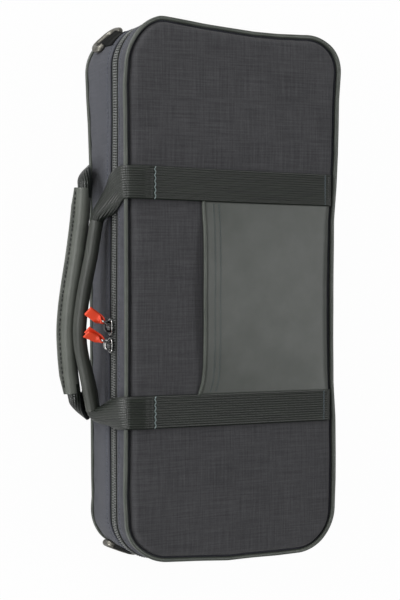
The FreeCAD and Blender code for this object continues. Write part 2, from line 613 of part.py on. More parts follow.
def slider(end, place, nose):
    """A zipper slider: a plate on each side of the teeth, the wedge between them and the pull's arch."""
    body = piece(f"slider_{end}")
    half = "(Case.slider_length / 2)"
    wide = "(Case.slider_width / 2)"
    narrow = "(Case.slider_nose / 2)"
    coil_face = f"(Case.coil_thickness - {SHELL_INSET})"
    outer_face = f"({coil_face} + Case.fit_clearance)"
    inner_face = f"({TAPE_BACK} + Case.fit_clearance)"
    shoulder = f"({half} - Case.slider_shoulder)"
    sign = "+" if nose == "lower" else "-"
    other = "-" if nose == "lower" else "+"

    def plan(sketch):
        points = [(f"0 {other} {half}", f"0 - {wide}"), (f"0 {sign} {shoulder}", f"0 - {wide}"),
                  (f"0 {sign} {half}", f"0 - {narrow}"), (f"0 {sign} {half}", narrow),
                  (f"0 {sign} {shoulder}", wide), (f"0 {other} {half}", wide)]
        add_path(sketch, points)

    top = sketch_on(body, "XZ_Plane", f"slider_{end}_top", outer_face)
    plan(top)
    plate = pad(body, top, "Case.slider_outer_plate", f"slider_{end}_outer_plate")
    round_edges(body, plate, f"0 - {outer_face} - Case.slider_outer_plate", "Case.slider_edge",
                f"slider_{end}_edge", axis="y")
    neck = sketch_on(body, "XZ_Plane", f"slider_{end}_neck_section", f"0 - {inner_face}")
    add_path(neck, ((f"0 {sign} {half}", "0 - Case.neck_thickness / 2"),
                    (f"0 {sign} {half}", "Case.neck_thickness / 2"),
                    (f"0 {sign} ({half} - Case.neck_length)", "Case.neck_thickness / 2"),
                    (f"0 {sign} ({half} - Case.neck_length)", "0 - Case.neck_thickness / 2")))
    pad(body, neck, f"{outer_face} + {inner_face}", f"slider_{end}_neck")
    bottom = sketch_on(body, "XZ_Plane", f"slider_{end}_bottom", f"0 - {inner_face}")
    plan(bottom)
    pad(body, bottom, "Case.slider_inner_plate", f"slider_{end}_inner_plate", reverse=True)
    arch = sketch_on(body, "XY_Plane", f"slider_{end}_arch")
    foot = f"(0 - {outer_face} - Case.slider_outer_plate)"
    crown = f"({foot} - Case.bridge_height)"
    span = "(Case.bridge_length / 2)"
    bend = "Case.bridge_shoulder"
    add_path(arch, ((f"0 - {span}", foot), (f"0 - {span}", f"{crown} + {bend}"),
                    (f"{bend} - {span}", crown), (f"{span} - {bend}", crown),
                    (span, f"{crown} + {bend}"), (span, foot)),
             {1: (bend, False), 3: (bend, False)})
    add_circle(arch, "0", PIVOT_DEPTH, "Case.bail_wire + 2 * Case.fit_clearance")
    pad(body, arch, "Case.bridge_width", f"slider_{end}_bridge", side="Symmetric")
    body.setExpression("Placement.Base.x", place)
    body.setExpression("Placement.Base.y", HANDLE_FACE)
    body.setExpression("Placement.Base.z", "Case.zipper_height")


# The pull's bar, counted from the fabric's outer face
PIVOT_DEPTH = (f"(0 - Case.coil_thickness + {SHELL_INSET} - Case.fit_clearance - Case.slider_outer_plate"
               " - Case.bridge_height + Case.bridge_shoulder)")


def hang_pull(body, place, lean):
    """Puts a piece drawn about the pull's bar at its slider, leaning towards the upper end."""
    body.setExpression("Placement.Base.x", place)
    body.setExpression("Placement.Base.y", f"{HANDLE_FACE} + {PIVOT_DEPTH}")
    body.setExpression("Placement.Base.z", "Case.zipper_height")
    body.setExpression("Placement.Rotation.Angle", f"0 deg - {lean} * 1 deg")


def bail(end, place, lean):
    """The wire link between the slider and its tab."""
    body = piece(f"puller_{end}")
    half = "(Case.bail_width / 2)"
    spine = sketch_on(body, "YZ_Plane", f"puller_{end}_run")
    add_rounded(spine, "(0 - Case.bail_reach)", "0", f"(0 - {half})", half, "Case.bail_corner",
                "Case.bail_corner")
    profile = sketch_on(body, "XZ_Plane", f"puller_{end}_section", "Case.bail_reach - Case.bail_corner")
    add_circle(profile, "0", f"(0 - {half})", "Case.bail_wire")
    pipe(body, profile, spine, f"puller_{end}_sweep")
    hang_pull(body, place, lean)


def pull_tab(end, place, lean, spread):
    """A leather strip folded over the link's outer bar, with its two leaves side by side."""
    body = piece(f"pull_tab_{end}")
    inner = "(Case.bail_wire / 2 + Case.tab_clearance)"
    outer = f"({inner} + Case.tab_leaf)"
    sine = f"sin({spread} * 1 deg)"
    cosine = f"cos({spread} * 1 deg)"
    bar = "Case.bail_reach"
    reach = "Case.tab_reach"
    points = (
        (f"0 - {inner} * {cosine} - {reach} * {sine}", f"{inner} * {sine} - {bar} - {reach} * {cosine}"),
        (f"0 - {inner} * {cosine}", f"{inner} * {sine} - {bar}"),
        (f"{inner} * {cosine}", f"{inner} * {sine} - {bar}"),
        (f"{inner} * {cosine} + {reach} * {sine}", f"{inner} * {sine} - {bar} - {reach} * {cosine}"),
        (f"{outer} * {cosine} + {reach} * {sine}", f"{outer} * {sine} - {bar} - {reach} * {cosine}"),
        (f"{outer} * {cosine}", f"{outer} * {sine} - {bar}"),
        (f"0 - {outer} * {cosine}", f"{outer} * {sine} - {bar}"),
        (f"0 - {outer} * {cosine} - {reach} * {sine}", f"{outer} * {sine} - {bar} - {reach} * {cosine}"),
    )
    sketch = sketch_on(body, "XY_Plane", f"pull_tab_{end}_side")
    add_path(sketch, points, {1: (inner, True), 5: (outer, False)})
    pad(body, sketch, "Case.tab_width", f"pull_tab_{end}_pad", side="Symmetric")
    hang_pull(body, place, lean)


def place_on_corner(body, end):
    """Stands a piece drawn about the ring's bar against the fabric, part way around a handle corner."""
    sign, turn = ("-", "-") if end == "upper" else ("+", "+")
    angle = f"Case.{end}_ring_angle * 1 deg"
    radius = "Case.handle_corner_radius"
    body.setExpression("Placement.Base.x", f"0 {sign} (Case.case_length / 2 - {radius} + {radius} * sin({angle}))")
    body.setExpression("Placement.Base.y", f"{HANDLE_FACE} + {radius} - {radius} * cos({angle})")
    body.setExpression("Placement.Base.z", "Case.ring_height")
    body.setExpression("Placement.Rotation.Angle", f"0 deg {turn} {angle}")


# The ring's bar, counted from the fabric
RING_LOOP = "(Case.ring_wire / 2 + Case.fit_clearance + Case.ring_loop_thickness)"


def ring_tab(end):
    """Doubled webbing sewn to the side band, with a loop around the ring's bar."""
    body = piece(f"ring_tab_{end}")
    sketch = sketch_on(body, "YZ_Plane", f"ring_tab_{end}_side")
    add_path(sketch,
             (("0", "Case.ring_tab_length"), ("0", "0"), (f"0 - {RING_LOOP}", f"0 - {RING_LOOP}"),
              (f"0 - 2 * {RING_LOOP}", "0"), ("0 - Case.ring_tab_thickness", "Case.ring_throat"),
              ("0 - Case.ring_tab_thickness", "Case.ring_tab_length")),
             {1: (RING_LOOP, True), 2: (RING_LOOP, True)})
    add_circle(sketch, f"0 - {RING_LOOP}", "0", "Case.ring_wire + 2 * Case.fit_clearance")
    pad(body, sketch, "Case.ring_tab_width", f"ring_tab_{end}_pad", side="Symmetric")
    place_on_corner(body, end)


def d_ring(end):
    """A metal ring that hangs from its bar."""
    body = piece(f"d_ring_{end}")
    half = "(Case.ring_width / 2)"
    spine = sketch_on(body, "XZ_Plane", f"d_ring_{end}_run", RING_LOOP)
    add_rounded(spine, f"(0 - {half})", half, "(0 - Case.ring_drop)", "0", "Case.ring_bottom_corner",
                "Case.ring_top_corner")
    profile = sketch_on(body, "YZ_Plane", f"d_ring_{end}_section", f"Case.ring_bottom_corner - {half}")
    add_circle(profile, f"0 - {RING_LOOP}", "0 - Case.ring_drop", "Case.ring_wire")
    pipe(body, profile, spine, f"d_ring_{end}_sweep")
    place_on_corner(body, end)


# Base
shell("base_shell", BASE_SEAT, BASE_RIM, BASE_FLOOR, f"({TAPE_BOTTOM} - Case.fit_clearance)", True)
band("base_gusset", "0", SHELL_INSET, BASE_SEAT, BAND_BOTTOM)
strap_channels(padded_panel("back_panel", "0", BASE_SEAT, "0", "Case.back_panel_edge"))
piping("base_piping", BASE_PIPING)
zipper_strip("base_zipper_tape", SHELL_INSET, TAPE_BACK, TAPE_BOTTOM, COIL_BOTTOM)
zipper_strip("base_zipper_coil", f"({SHELL_INSET} - Case.coil_thickness)", SHELL_INSET,
             f"({COIL_BOTTOM} - Case.coil_height)", COIL_BOTTOM)
instrument_bed()
fabric_hinge()
for end, place in STRAP_PLACES.items():
    sewn_strap(f"rear_strap_{end}", place, BACK_FACE, BASE_PIPING, False)
    ring_tab(end)
    d_ring(end)

# Lid
shell("lid_shell", LID_SEAT, LID_RIM, LID_CEILING, f"({TAPE_TOP} + Case.fit_clearance)", False)
band("lid_gusset", "0", SHELL_INSET, BAND_TOP, LID_SEAT)
padded_panel("lid_panel", LID_SEAT, LID_FACE, LID_FACE, "Case.lid_panel_edge")
piping("lid_piping", LID_PIPING)
zipper_strip("lid_zipper_tape", SHELL_INSET, TAPE_BACK, COIL_TOP, TAPE_TOP)
zipper_strip("lid_zipper_coil", f"({SHELL_INSET} - Case.coil_thickness)", SHELL_INSET,
             COIL_TOP, f"({COIL_TOP} + Case.coil_height)")
lid_lining()
for end, place in STRAP_PLACES.items():
    sewn_strap(f"front_strap_{end}", place, LID_FACE, LID_PIPING, True)
lid_pocket()

# Handles
grip("front")
grip("rear")
handle_webbing("front", LID_PIPING, LID_FACE, True)
handle_webbing("rear", BASE_PIPING, BACK_FACE, False)

# Sliders and their pulls
slider("upper", "Case.upper_slider_place", "lower")
slider("lower", "Case.lower_slider_place", "upper")
for end in ("upper", "lower"):
    place = f"Case.{end}_slider_place"
    lean = f"Case.{end}_pull_lean"
    bail(end, place, lean)
    pull_tab(end, place, lean, f"Case.{end}_tab_spread")

doc.recompute()
for item in doc.Objects:
    if "Invalid" in item.State or "Error" in item.State:
        raise RuntimeError(f"{item.Label} failed: {item.State}")

pieces = [item for item in doc.Objects if item.TypeId in ("PartDesign::Body", "Part::Feature")]
os.makedirs("parts", exist_ok=True)
for item in pieces:
    if item.Shape.isNull() or not item.Shape.isValid():
        raise RuntimeError(f"{item.Label} has no valid shape")
    item.Shape.exportStep(f"parts/{item.Label}.step")
print(len(pieces), "pieces")
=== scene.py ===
"""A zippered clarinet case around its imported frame. Lengths are in millimetres until a mesh is made."""

import math

import bmesh
import bpy
import numpy as np
from mathutils import Matrix, Vector


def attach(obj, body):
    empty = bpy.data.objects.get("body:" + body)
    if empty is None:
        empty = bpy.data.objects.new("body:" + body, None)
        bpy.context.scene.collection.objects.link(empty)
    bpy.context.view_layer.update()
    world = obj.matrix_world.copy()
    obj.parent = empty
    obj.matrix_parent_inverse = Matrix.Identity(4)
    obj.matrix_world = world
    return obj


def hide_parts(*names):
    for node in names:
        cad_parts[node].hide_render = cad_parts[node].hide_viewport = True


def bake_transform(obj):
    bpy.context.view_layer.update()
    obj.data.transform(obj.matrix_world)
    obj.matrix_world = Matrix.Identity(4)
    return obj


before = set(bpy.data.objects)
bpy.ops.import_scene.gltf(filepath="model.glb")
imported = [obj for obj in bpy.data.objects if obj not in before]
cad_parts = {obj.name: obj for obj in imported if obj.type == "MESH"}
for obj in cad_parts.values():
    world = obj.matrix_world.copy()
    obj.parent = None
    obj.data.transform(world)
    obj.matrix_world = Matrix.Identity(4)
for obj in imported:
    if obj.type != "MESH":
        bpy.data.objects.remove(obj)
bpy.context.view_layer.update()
MM = 0.001
TURN = 2 * math.pi
HALF_LENGTH, HALF_WIDTH, CORNER = 196.0, 84.0, 30.0
ZIPPER_END = 48.0
BASE_PIPING_Z, LID_PIPING_Z, ZIPPER_Z = 4.1, 92.1, 66.1
STRAPS = {"upper": -83.0, "lower": 83.0}
STRAP_HALF = 11.6


def add_object(name, data):
    made = bpy.data.objects.new(name, data)
    bpy.context.scene.collection.objects.link(made)
    return made


def copy_solid(name, node):
    return add_object(name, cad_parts[node].data.copy())


def smooth(mesh):
    mesh.polygons.foreach_set("use_smooth", [True] * len(mesh.polygons))


def unit(v):
    return v / np.linalg.norm(v, axis=-1, keepdims=True)


def clamp(t):
    return np.clip(t, 0, 1)


def ease(t):
    t = clamp(t)
    return t * t * (3 - 2 * t)


def run_along(points):
    """The distance along a path at each of its points."""
    return np.concatenate([[0], np.cumsum(np.linalg.norm(np.diff(np.array(points, float), axis=0), axis=1))])


def circle(count):
    """Angles spaced evenly round a circle."""
    return np.linspace(0, TURN, count, endpoint=False)


def at_level(flat, z):
    """Points of the plan, lifted to a height."""
    return np.concatenate([flat, np.broadcast_to(z, len(flat))[:, None]], axis=1)


# Camera, at the photograph's place and lens
def turned(degrees, a, b):
    """A turn that takes axis a towards axis b."""
    c, s = math.cos(math.radians(degrees)), math.sin(math.radians(degrees))
    turn = np.eye(3)
    turn[a, a] = turn[b, b] = c
    turn[a, b], turn[b, a] = -s, s
    return turn


def place_camera():
    roll, pitch, yaw = -0.06, 2.93, -22.66
    height, focal = 600.0, 1256.0
    turn = turned(roll, 0, 1) @ turned(pitch, 1, 2) @ turned(yaw, 0, 2) @ turned(-90, 0, 1)
    place = -turn.T @ np.array([-9.9, 11.9, -1011.0]) + (0, 0, BASE_PIPING_Z)
    data = bpy.data.cameras.new("camera")
    data.sensor_width = 36.0
    data.lens = focal * data.sensor_width / height
    data.shift_x, data.shift_y = -2.0 / height, 5.0 / height
    data.clip_start, data.clip_end = 0.05, 20.0
    camera = add_object("camera", data)
    camera.matrix_world = Matrix.Translation(Vector(place * MM)) @ Matrix(turn.T.tolist()).to_4x4()
    bpy.context.scene.camera = camera


place_camera()


# Outline of the case, walked from the lower end's zipper stop past the handles and back along the hinge
def walk_outline(step=2.0):
    """Points, outward normals and runs along the outline, and where the zipper stops."""
    points, normals = [], []
    x, y, r = HALF_LENGTH, HALF_WIDTH, CORNER

    def line(a, b, normal):
        a, b = np.array(a, float), np.array(b, float)
        count = max(int(round(np.linalg.norm(b - a) / step)), 1)
        points.extend(a + (b - a) * i / count for i in range(count))
        normals.extend([normal] * count)

    def arc(centre, start):
        count = int(round(math.pi / 2 * r / (step * 0.8)))
        for i in range(count):
            angle = math.radians(start - 90 * i / count)
            normals.append((math.cos(angle), math.sin(angle)))
            points.append(np.array(centre) + np.array(normals[-1]) * r)

    line((x, ZIPPER_END), (x, r - y), (1, 0))
    arc((x - r, r - y), 0)
    line((x - r, -y), (r - x, -y), (0, -1))
    arc((r - x, r - y), -90)
    line((-x, r - y), (-x, ZIPPER_END), (-1, 0))
    stop = len(points)
    line((-x, ZIPPER_END), (-x, y - r), (-1, 0))
    arc((r - x, y - r), 180)
    line((r - x, y), (x - r, y), (0, 1))
    arc((x - r, y - r), 90)
    line((x, y - r), (x, ZIPPER_END), (1, 0))
    points = np.array(points)
    return points, np.array(normals, float), run_along([*points, points[0]]), stop


OUT, OUT_N, OUT_S, STOP = walk_outline()

# How far the soft sides give way, in millimetres, at the base's piping, at the zipper and at the lid's piping.
# Each row of numbers belongs to the row of places above it.
END_Y = (-84, -72, -60, -45, -25, -5, 15, 35, 55, 74, 84)
UPPER_END = ((-3.2, -3.2, -2.6, -1.6, -0.6, 0.3, 0.8, 0.8, 0.6, 0.3, 0),
             (-2.4, -2.6, -2.4, -1.3, -0.2, 1, 2, 2.2, 2, 1.2, 0.4),
             (-2, -2.8, -3.4, -1.8, 0.4, 2, 3.6, 4, 3.6, 1, -1.2))
LOWER_END = ((3.3, 3.8, 3.4, 2.2, 1.4, 0.8, 0.4, 0.2, 0, 0, 0),
             (1.5, 1.8, 1.8, 1.2, 0.8, 0.6, 0.5, 0.3, 0.1, 0, 0),
             (-3.4, -3.4, -2.8, -1.8, -0.4, 1.2, 1.1, 1.3, 1, 0.1, -1.2))
SIDE_X = (-196, -180, -165, -150, -130, -100, -60, 0, 40, 80, 120, 145, 160, 175, 196)
HANDLE_SIDE = ((-1.2, -1.8, -1.6, -1, 0.2, 1.2, 1.3, 1.4, 1.4, 1.5, 1.9, 1.9, 2.2, 1, -0.8),
               (-0.4, -0.6, -0.6, -0.5, -0.4, -0.6, -0.9, -1.5, -1.8, -2, -1.7, -1.6, -1.7, -1.4, -1),
               (1.9, 1.3, -0.3, -1.5, -1.1, -0.9, -0.75, -0.6, -0.7, -0.85, -1.3, -1.9, -1.1, -0.5, 0.3))
HINGE_X = (-196, -180, -165, -145, -105, -80, -55, 0, 40, 68, 95, 123, 145, 170, 196)
HINGE_SIDE = (2.6, 2.6, 2.2, 0.9, 0.2, -0.9, -2.6, -2.9, -2.6, -2.2, -0.6, 0, 0, -0.6, -0.8)
# How far the zipper sags along the handle side. Each number belongs to a place of SIDE_X.
ZIPPER_DROP = (0, 0, 0, 0, 0, -0.6, -1.2, -1.6, -1.6, -1.6, -1.6, -1.6, -1.6, -1.4, -1)
# Where an end's give starts, and over what length it grows
GIVE_START, GIVE_REACH = 105, 85


def soft_side(p):
    """Where a point of the case lies once its padded sides have given way."""
    p = np.array(p, float)
    x, y, z = p[..., 0].copy(), p[..., 1].copy(), p[..., 2]
    lid = ease((z - ZIPPER_Z) / 22)
    base = 1 - ease((z - 8) / 50)

    def give(at, places, rows):
        return sum(np.interp(at, places, row) * part for row, part in zip(rows, (base, 1 - base - lid, lid)))

    upper = clamp((-x - GIVE_START) / GIVE_REACH) ** 2
    lower = clamp((x - GIVE_START) / GIVE_REACH) ** 2
    front = np.clip(-y / HALF_WIDTH, 0, 1.05) ** 2
    rear = np.clip(y / HALF_WIDTH, 0, 1.05) ** 2
    p[..., 0] = x + upper * give(y, END_Y, UPPER_END) + lower * give(y, END_Y, LOWER_END)
    p[..., 1] = y + front * give(x, SIDE_X, HANDLE_SIDE) + rear * np.interp(x, HINGE_X, HINGE_SIDE)
    p[..., 2] = z + front * np.interp(x, SIDE_X, ZIPPER_DROP) * ease(1.15 - np.abs(z - ZIPPER_Z) / 26)
    return p


def round_trip(run, times):
    """An angle that turns a whole number of times along the outline."""
    return run * (TURN * times / OUT_S[-1])


def puckers(run, times, sway, slow):
    """Puckers along a seam, closer together here and there."""
    return np.sin(round_trip(run, times) + sway * np.sin(round_trip(run, slow)))


def away_from_start(run):
    """0 where the walk along the outline starts and ends, 1 elsewhere."""
    return ease(np.minimum(run, OUT_S[-1] - run) / 25)


def waves(u, v, seed, lengths, height):
    """A smooth field of low waves, always the same for one seed."""
    random = np.random.default_rng(seed)
    total = np.zeros(np.broadcast(u, v).shape)
    for length in lengths:
        for _ in range(3):
            angle, phase = random.uniform(0, math.pi), random.uniform(0, TURN)
            k = TURN / (length * random.uniform(0.8, 1.25))
            total = total + np.sin(k * (u * math.cos(angle) + v * math.sin(angle)) + phase)
    return height * total / (3 * len(lengths))


# Mesh makers
def make_mesh(name, verts, faces, uvs=None):
    """A smooth piece from points in millimetres, its faces turned outwards."""
    mesh = bpy.data.meshes.new(name)
    mesh.from_pydata((np.asarray(verts, float) * MM).tolist(), [], faces)
    if uvs is not None:
        mesh.uv_layers.new(name="cloth").data.foreach_set("uv", np.asarray(uvs, np.float32).ravel())
    smooth(mesh)
    work = bmesh.new()
    work.from_mesh(mesh)
    bmesh.ops.recalc_face_normals(work, faces=work.faces)
    work.to_mesh(mesh)
    work.free()
    return add_object(name, mesh)


def grid_mesh(name, points, u, v, wrap_rows=False, wrap_columns=False, caps=False):
    """points is rows x columns x 3. u and v are cloth coordinates in millimetres, with one more value than
    there are columns or rows where these wrap."""
    rows, columns = points.shape[:2]
    rounds = [((r, c), (r, c + 1), (r + 1, c + 1), (r + 1, c))
              for r in range(rows - (not wrap_rows)) for c in range(columns - (not wrap_columns))]
    if caps and wrap_rows:
        rounds.append([(r, 0) for r in range(rows)])
        rounds.append([(r, columns - 1) for r in reversed(range(rows))])
    if caps and wrap_columns:
        rounds.append([(0, c) for c in reversed(range(columns))])
        rounds.append([(rows - 1, c) for c in range(columns)])
    faces = [[r % rows * columns + c % columns for r, c in corners] for corners in rounds]
    uvs = [(u[c], v[r]) for corners in rounds for r, c in corners]
    return make_mesh(name, points.reshape(-1, 3), faces, uvs)


def threads(name, places, runs, ups, length, radius):
    """Short sewn stitches: one small rounded bar for each place, lying along its run."""
    sides = 6
    ring = [(math.cos(a), math.sin(a)) for a in circle(sides)]
    stations = ((-0.5, 0.35), (-0.38, 0.9), (0.0, 1.0), (0.38, 0.9), (0.5, 0.35))
    verts, faces = [], []
    for place, run, up in zip(places, runs, ups):
        run, up = unit(run), unit(up)
        side = np.cross(run, up)
        first = len(verts)
        for t, r in stations:
            dip = -t ** 2 * radius * 3.2
            for a, b in ring:
                rise = b * radius * r * 0.8 + dip
                verts.append(place + run * t * length + side * a * radius * r + up * rise)
        for k in range(first, len(verts) - sides, sides):
            for j in range(sides):
                a, b = k + j, k + (j + 1) % sides
                faces.append((a, b, b + sides, a + sides))
        faces.append([first + j for j in reversed(range(sides))])
        faces.append(list(range(len(verts) - sides, len(verts))))
    return make_mesh(name, verts, faces)


def band(name, profile, columns=slice(None), closed=True, ripple=None, v=None):
    """A band that follows the outline, from a profile of (inset, z) pairs. v, where given, takes the place of
    the distance along the profile in the cloth coordinates."""
    insets, levels = np.array(profile, float).T[..., None]
    base, normal, run = OUT[columns], OUT_N[columns], OUT_S[:-1][columns]
    inset, level = insets + np.zeros(len(base)), levels + np.zeros(len(base))
    if ripple is not None:
        inset = inset - ripple(run[None, :] + 0 * inset, level)
    points = np.concatenate([base - normal * inset[..., None], level[..., None]], axis=2)
    if v is None:
        v = run_along(profile)
        v = np.append(v, v[-1] + 1)
    return grid_mesh(name, soft_side(points), OUT_S if closed else np.append(run, run[-1]), v,
                     wrap_rows=not closed, wrap_columns=closed, caps=not closed)


# Materials
class Nodes:
    """Makes and joins the nodes of a material or a world."""

    def __init__(self, owner):
        owner.use_nodes = True
        self.owner, self.tree = owner, owner.node_tree

    def put(self, node, inputs):
        for key, source in inputs.items():
            if hasattr(source, "is_output"):
                self.tree.links.new(source, node.inputs[key])
            else:
                node.inputs[key].default_value = source

    def add(self, kind, inputs=None, **settings):
        node = self.tree.nodes.new("ShaderNode" + kind)
        for key, setting in settings.items():
            setattr(node, key, setting)
        self.put(node, inputs or {})
        return node

    def maths(self, operation, a, b=0.0):
        return self.add("Math", {0: a, 1: b}, operation=operation).outputs[0]

    def total(self, *terms):
        """The sum of sources, each with its factor."""
        result = None
        for source, factor in terms:
            part = source if factor == 1 else self.maths("MULTIPLY", source, factor)
            result = part if result is None else self.maths("ADD", result, part)
        return result

    def wave(self, source, pitch):
        return self.maths("SINE", self.maths("MULTIPLY", source, TURN / pitch))

    def spread(self, source, low, high, to_low, to_high):
        return self.add("MapRange", {"Value": source, "From Min": low, "From Max": high,
                                     "To Min": to_low, "To Max": to_high}).outputs[0]

    def noise(self, place, scale, detail=3.0, roughness=0.55, stretch=None):
        if stretch is not None:
            place = self.add("Mapping", {"Vector": place, "Scale": stretch}).outputs[0]
        return self.add("TexNoise", {"Vector": place, "Scale": scale, "Detail": detail,
                                     "Roughness": roughness}).outputs[0]

    def cloth(self):
        """The cloth coordinates in millimetres, along the run and across it."""
        place = self.add("UVMap", uv_map="cloth").outputs[0]
        split = self.add("SeparateXYZ", {0: place}).outputs
        return place, split[0], split[1]

    def solid(self):
        """The place in the piece, in millimetres."""
        place = self.add("TexCoord").outputs["Object"]
        return self.add("Mapping", {"Vector": place, "Scale": (1000, 1000, 1000)}).outputs[0]

    def finish(self, tone, stops, bump, values):
        """Colours the material by its tone between two stops. bump is height, strength and distance."""
        ramp = self.add("ValToRGB", {0: tone})
        for element, (place, colour) in zip(ramp.color_ramp.elements, stops):
            element.position = place
            element.color = (*colour, 1.0)
        relief = self.add("Bump", dict(zip(("Height", "Strength", "Distance"), bump)))
        self.put(self.tree.nodes["Principled BSDF"],
                 {"Base Color": ramp.outputs[0], "Normal": relief.outputs[0], **values})
        return self.owner


def surface(name):
    return Nodes(bpy.data.materials.new(name))


def woven(name, dark, light, pitch=0.9):
    """Charcoal woven cloth: crossed threads of slightly different greys, with a fine bump."""
    n = surface(name)
    place, u, v = n.cloth()
    lift = n.maths("MULTIPLY", n.wave(u, pitch), n.wave(v, pitch))
    long_threads = n.noise(place, 1.0, 2.0, stretch=(0.95, 0.035, 1))
    cross_threads = n.noise(place, 1.0, 2.0, stretch=(0.035, 0.95, 1))
    flecks = n.noise(place, 0.55, 4.0, 0.7)
    clouds = n.noise(place, 0.018, 2.0)
    tone = n.total((long_threads, 0.36), (cross_threads, 0.36), (flecks, 0.22), (clouds, 0.10), (lift, 0.03))
    height = n.total((lift, 0.5), (flecks, 0.9))
    return n.finish(tone, ((0.36, dark), (0.66, light)), (height, 0.55, 0.00022),
                    {"Roughness": 0.88, "Sheen Weight": 0.12, "Sheen Roughness": 0.5,
                     "Specular IOR Level": 0.28})


def leather(name, dark, light, roughness, grain):
    """Smooth finished leather with a fine pebble grain and soft blotches."""
    n = surface(name)
    place, _, _ = n.cloth()
    cells = n.add("TexVoronoi", {"Vector": place, "Scale": 1.35 / grain}, feature="DISTANCE_TO_EDGE")
    pebbles = n.spread(cells.outputs["Distance"], 0.0, 0.25, 0.0, 1.0)
    pores = n.noise(place, 2.2 / grain)
    tone = n.total((n.noise(place, 0.045), 0.75), (pores, 0.25))
    height = n.total((pebbles, 1), (pores, 0.6))
    shine = n.spread(pores, 0.3, 0.7, roughness - 0.05, roughness + 0.07)
    return n.finish(tone, ((0.35, dark), (0.65, light)), (height, 0.28, 0.00012),
                    {"Roughness": shine, "Specular IOR Level": 0.5, "Coat Weight": 0.06,
                     "Coat Roughness": 0.35})


def webbing(name, dark, light, roughness=0.30, gloss=0.52):
    """Dense webbing: ribs along its length, crossed by a fine herringbone."""
    n = surface(name)
    place, u, v = n.cloth()
    rib = n.wave(v, 1.75)
    slant = n.maths("SINE", n.total((u, TURN / 1.1), (rib, 1.2)))
    height = n.total((rib, 1), (slant, 0.35))
    tone = n.total((n.noise(place, 1.0, stretch=(0.03, 0.9, 1)), 0.8), (height, 0.08))
    return n.finish(tone, ((0.3, dark), (0.62, light)), (height, 0.4, 0.0004),
                    {"Roughness": roughness, "Specular IOR Level": gloss})


def tape_cloth(name, dark, light):
    """Knitted zipper tape with fine ribs along its run."""
    n = surface(name)
    place, u, v = n.cloth()
    height = n.total((n.wave(v, 0.8), 1), (n.wave(u, 0.7), 0.5))
    tone = n.total((n.noise(place, 0.7), 1), (height, 0.06))
    return n.finish(tone, ((0.3, dark), (0.7, light)), (height, 0.4, 0.00015), {"Roughness": 0.8})


def plush(name, dark, light):
    """Short brushed pile over foam."""
    n = surface(name)
    place = n.solid()
    pile = n.noise(place, 1.6, 4.0, 0.7)
    tone = n.total((pile, 0.45), (n.noise(place, 1.0, stretch=(0.05, 0.015, 0.05)), 0.55))
    return n.finish(tone, ((0.35, dark), (0.68, light)), (pile, 0.6, 0.0004),
                    {"Roughness": 0.95, "Sheen Weight": 0.5, "Sheen Roughness": 0.4})


def metal(name, dark, light, roughness, metallic=1.0):
    """Coated or plain metal with light handling marks."""
    n = surface(name)
    place = n.solid()
    marks = n.noise(place, 1.0, 4.0, stretch=(0.4, 0.4, 2.4))
    shine = n.spread(marks, 0.25, 0.75, roughness - 0.06, roughness + 0.12)
    return n.finish(n.noise(place, 0.5), ((0.3, dark), (0.75, light)), (marks, 0.15, 0.00004),
                    {"Roughness": shine, "Metallic": metallic})


def plain_thread(name, dark, light):
    n = surface(name)
    tone = n.noise(n.solid(), 1.8)
    return n.finish(tone, ((0.3, dark), (0.7, light)), (tone, 0.5, 0.0001), {"Roughness": 0.6})


def board(name, dark, light):
    """Compressed fibre board under the cloth."""
    n = surface(name)
    fibres = n.noise(n.solid(), 1.0, 4.0, stretch=(0.8, 0.12, 0.8))
    return n.finish(fibres, ((0.3, dark), (0.7, light)), (fibres, 0.4, 0.0002), {"Roughness": 0.9})


PANEL_CLOTH = woven("panel_cloth", (0.025, 0.025, 0.028), (0.063, 0.063, 0.067))
# Both side bands are one woven cloth. Its colour is darkened overall as painted shade from the handles, and the
# lid's band is a darker copy, more painted shade.
SIDE_CLOTH_PAINTED_SHADE = woven("side_cloth", (0.025, 0.027, 0.034), (0.064, 0.067, 0.082))
LID_SIDE_CLOTH_PAINTED_SHADE = woven("lid_side_cloth", (0.020, 0.021, 0.027), (0.053, 0.055, 0.067))
PIPING_LEATHER = leather("piping_cover", (0.044, 0.051, 0.042), (0.074, 0.083, 0.070), 0.30, 0.7)
# Both grips are one olive leather: the rear grip's copy is lightened as painted light, the front grip's copy
# darkened as painted shade.
REAR_GRIP_LEATHER_PAINTED_LIGHT = leather("rear_grip_cover_painted_light", (0.064, 0.071, 0.060), (0.104, 0.112, 0.097), 0.34, 1.0)
FRONT_GRIP_LEATHER_PAINTED_SHADE = leather("front_grip_cover_painted_shade", (0.021, 0.024, 0.019), (0.037, 0.041, 0.034), 0.36, 0.9)
POCKET_LEATHER = leather("pocket_cover", (0.042, 0.048, 0.041), (0.061, 0.067, 0.060), 0.40, 1.0)
RED_LEATHER = leather("pull_cover", (0.68, 0.040, 0.010), (0.86, 0.075, 0.020), 0.42, 0.6)
BLACK_WEBBING = webbing("black_webbing", (0.004, 0.006, 0.004), (0.013, 0.018, 0.012))
TAB_WEBBING = webbing("tab_webbing", (0.004, 0.004, 0.004), (0.012, 0.013, 0.012), 0.8, 0.15)
TAPE = tape_cloth("zipper_tape", (0.026, 0.029, 0.028), (0.060, 0.065, 0.061))
# The teeth's grey is lightened well above the tape's as a painted highlight on each tooth, so that their bars
# show.
TEETH_PAINTED_HIGHLIGHT = metal("zipper_teeth", (0.085, 0.089, 0.086), (0.165, 0.172, 0.165), 0.36, 0.0)
RING_METAL = metal("ring_metal", (0.13, 0.125, 0.11), (0.25, 0.24, 0.21), 0.38)
SLIDER_METAL = metal("slider_metal", (0.02, 0.02, 0.021), (0.05, 0.05, 0.052), 0.20)
